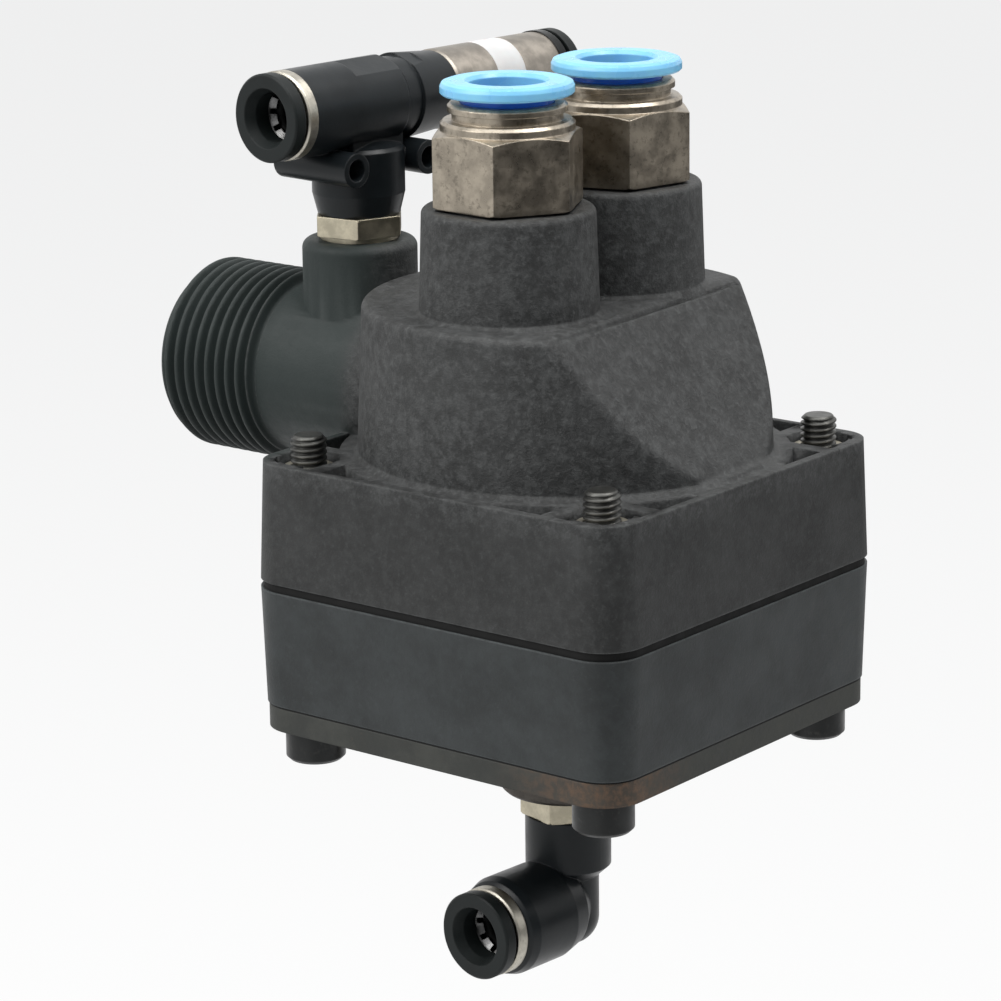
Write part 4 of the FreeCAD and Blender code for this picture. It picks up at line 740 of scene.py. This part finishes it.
def background_share(tree, share):
    """Share of the plain background that camera, mirror and glass rays see, and no other ray."""
    path = tree.nodes.new("ShaderNodeLightPath")
    total = path.outputs["Is Camera Ray"]
    for name in ("Is Glossy Ray", "Is Transmission Ray"):
        add = tree.nodes.new("ShaderNodeMath")
        add.operation = "MAXIMUM"
        tree.links.new(total, add.inputs[0])
        tree.links.new(path.outputs[name], add.inputs[1])
        total = add.outputs[0]
    scaled = tree.nodes.new("ShaderNodeMath")
    scaled.operation = "MULTIPLY"
    scaled.inputs[1].default_value = share
    tree.links.new(total, scaled.inputs[0])
    return scaled.outputs[0]


def stage_material():
    """Pale floor that reads white to the camera, with the object's shadow left in it."""
    material = bpy.data.materials.new("pale_floor")
    material.use_nodes = True
    tree = material.node_tree
    tree.nodes.clear()
    output = tree.nodes.new("ShaderNodeOutputMaterial")
    paint = tree.nodes.new("ShaderNodeBsdfDiffuse")
    paint.inputs["Color"].default_value = (*FLOOR_PAINT, 1)
    glow = tree.nodes.new("ShaderNodeEmission")
    glow.inputs["Strength"].default_value = 1.0
    mix = tree.nodes.new("ShaderNodeMixShader")
    tree.links.new(background_share(tree, FLOOR_WHITE), mix.inputs["Fac"])
    tree.links.new(paint.outputs[0], mix.inputs[1])
    tree.links.new(glow.outputs[0], mix.inputs[2])
    tree.links.new(mix.outputs[0], output.inputs["Surface"])
    return material


def flag_material():
    """Dark cloth."""
    material = bpy.data.materials.new("dark_cloth")
    material.use_nodes = True
    shader = material.node_tree.nodes["Principled BSDF"]
    shader.inputs["Base Color"].default_value = (*CLOTH_PAINT, 1)
    shader.inputs["Roughness"].default_value = CLOTH_ROUGH
    return material


def direction(azimuth, elevation):
    """Unit vector from the object towards a stand: azimuth 0 is at -Y, and +X is at 90."""
    side = math.radians(azimuth)
    up = math.radians(elevation)
    return Vector((math.sin(side) * math.cos(up), -math.cos(side) * math.cos(up), math.sin(up)))


def flat_sheet(name, corners, material):
    """One flat face between four corners."""
    mesh = bmesh.new()
    mesh.faces.new([mesh.verts.new(corner) for corner in corners])
    data = bpy.data.meshes.new(name)
    mesh.to_mesh(data)
    mesh.free()
    data.materials.append(material)
    return placed(name, data)


def flag(cloth, name, azimuth, distance, width, low, high):
    """A dark cloth that stands beside the object, for its metal to reflect."""
    back = direction(azimuth, 0)
    side = direction(azimuth + 90, 0)
    middle = Vector((TARGET.x, TARGET.y, 0)) + back * distance
    corners = [middle + side * (share * width / 2) + Z_AXIS * height
               for share, height in ((-1, low), (1, low), (1, high), (-1, high))]
    piece = flat_sheet(name, corners, cloth)
    piece.visible_camera = False
    piece.visible_diffuse = False
    piece.visible_shadow = False


def floor():
    """A pale floor well below the object."""
    height = cad_low.z - FLOOR_DROP * MM
    corners = [(x * FLOOR_HALF, y * FLOOR_HALF, height)
               for x, y in ((-1, -1), (1, -1), (1, 1), (-1, 1))]
    piece = flat_sheet("floor", corners, stage_material())


def world():
    """White behind the object, and dim soft light on it from all round."""
    scene_world = bpy.data.worlds.new("studio")
    bpy.context.scene.world = scene_world
    scene_world.use_nodes = True
    tree = scene_world.node_tree
    tree.nodes.clear()
    output = tree.nodes.new("ShaderNodeOutputWorld")
    shown = tree.nodes.new("ShaderNodeBackground")
    shown.inputs["Color"].default_value = (1, 1, 1, 1)
    around = tree.nodes.new("ShaderNodeBackground")
    around.inputs["Color"].default_value = (*WORLD_TINT, 1)
    around.inputs["Strength"].default_value = WORLD_LIGHT
    mix = tree.nodes.new("ShaderNodeMixShader")
    tree.links.new(background_share(tree, 1.0), mix.inputs["Fac"])
    tree.links.new(around.outputs[0], mix.inputs[1])
    tree.links.new(shown.outputs[0], mix.inputs[2])
    tree.links.new(mix.outputs[0], output.inputs["Surface"])


def softbox(name, azimuth, elevation, distance, side, watts, tint):
    """A square lamp that faces the object."""
    data = bpy.data.lights.new(name, "AREA")
    data.shape = "SQUARE"
    data.size = side
    data.energy = watts
    data.color = tint
    light = placed(name, data)
    back = direction(azimuth, elevation)
    light.location = TARGET + back * distance
    light.rotation_mode = "QUATERNION"
    light.rotation_quaternion = (-back).to_track_quat("-Z", "Y")
    light.visible_camera = False


def camera():
    """The camera where the photo was taken from."""
    data = bpy.data.cameras.new("camera")
    data.lens = FOCAL_LENGTH
    data.sensor_width = SENSOR_WIDTH
    data.dof.use_dof = False
    view = placed("camera", data)
    back = direction(CAMERA_AZIMUTH, CAMERA_ELEVATION)
    view.location = AIM + back * CAMERA_DISTANCE
    view.rotation_mode = "QUATERNION"
    roll = Quaternion((0, 0, 1), math.radians(CAMERA_ROLL))
    view.rotation_quaternion = (-back).to_track_quat("-Z", "Y") @ roll
    bpy.context.scene.camera = view


floor()
dark_cloth = flag_material()
for flag_place in FLAGS:
    flag(dark_cloth, *flag_place)
world()
for lamp in SOFTBOXES:
    softbox(*lamp)
camera()

bpy.context.scene.view_settings.view_transform = "Standard"
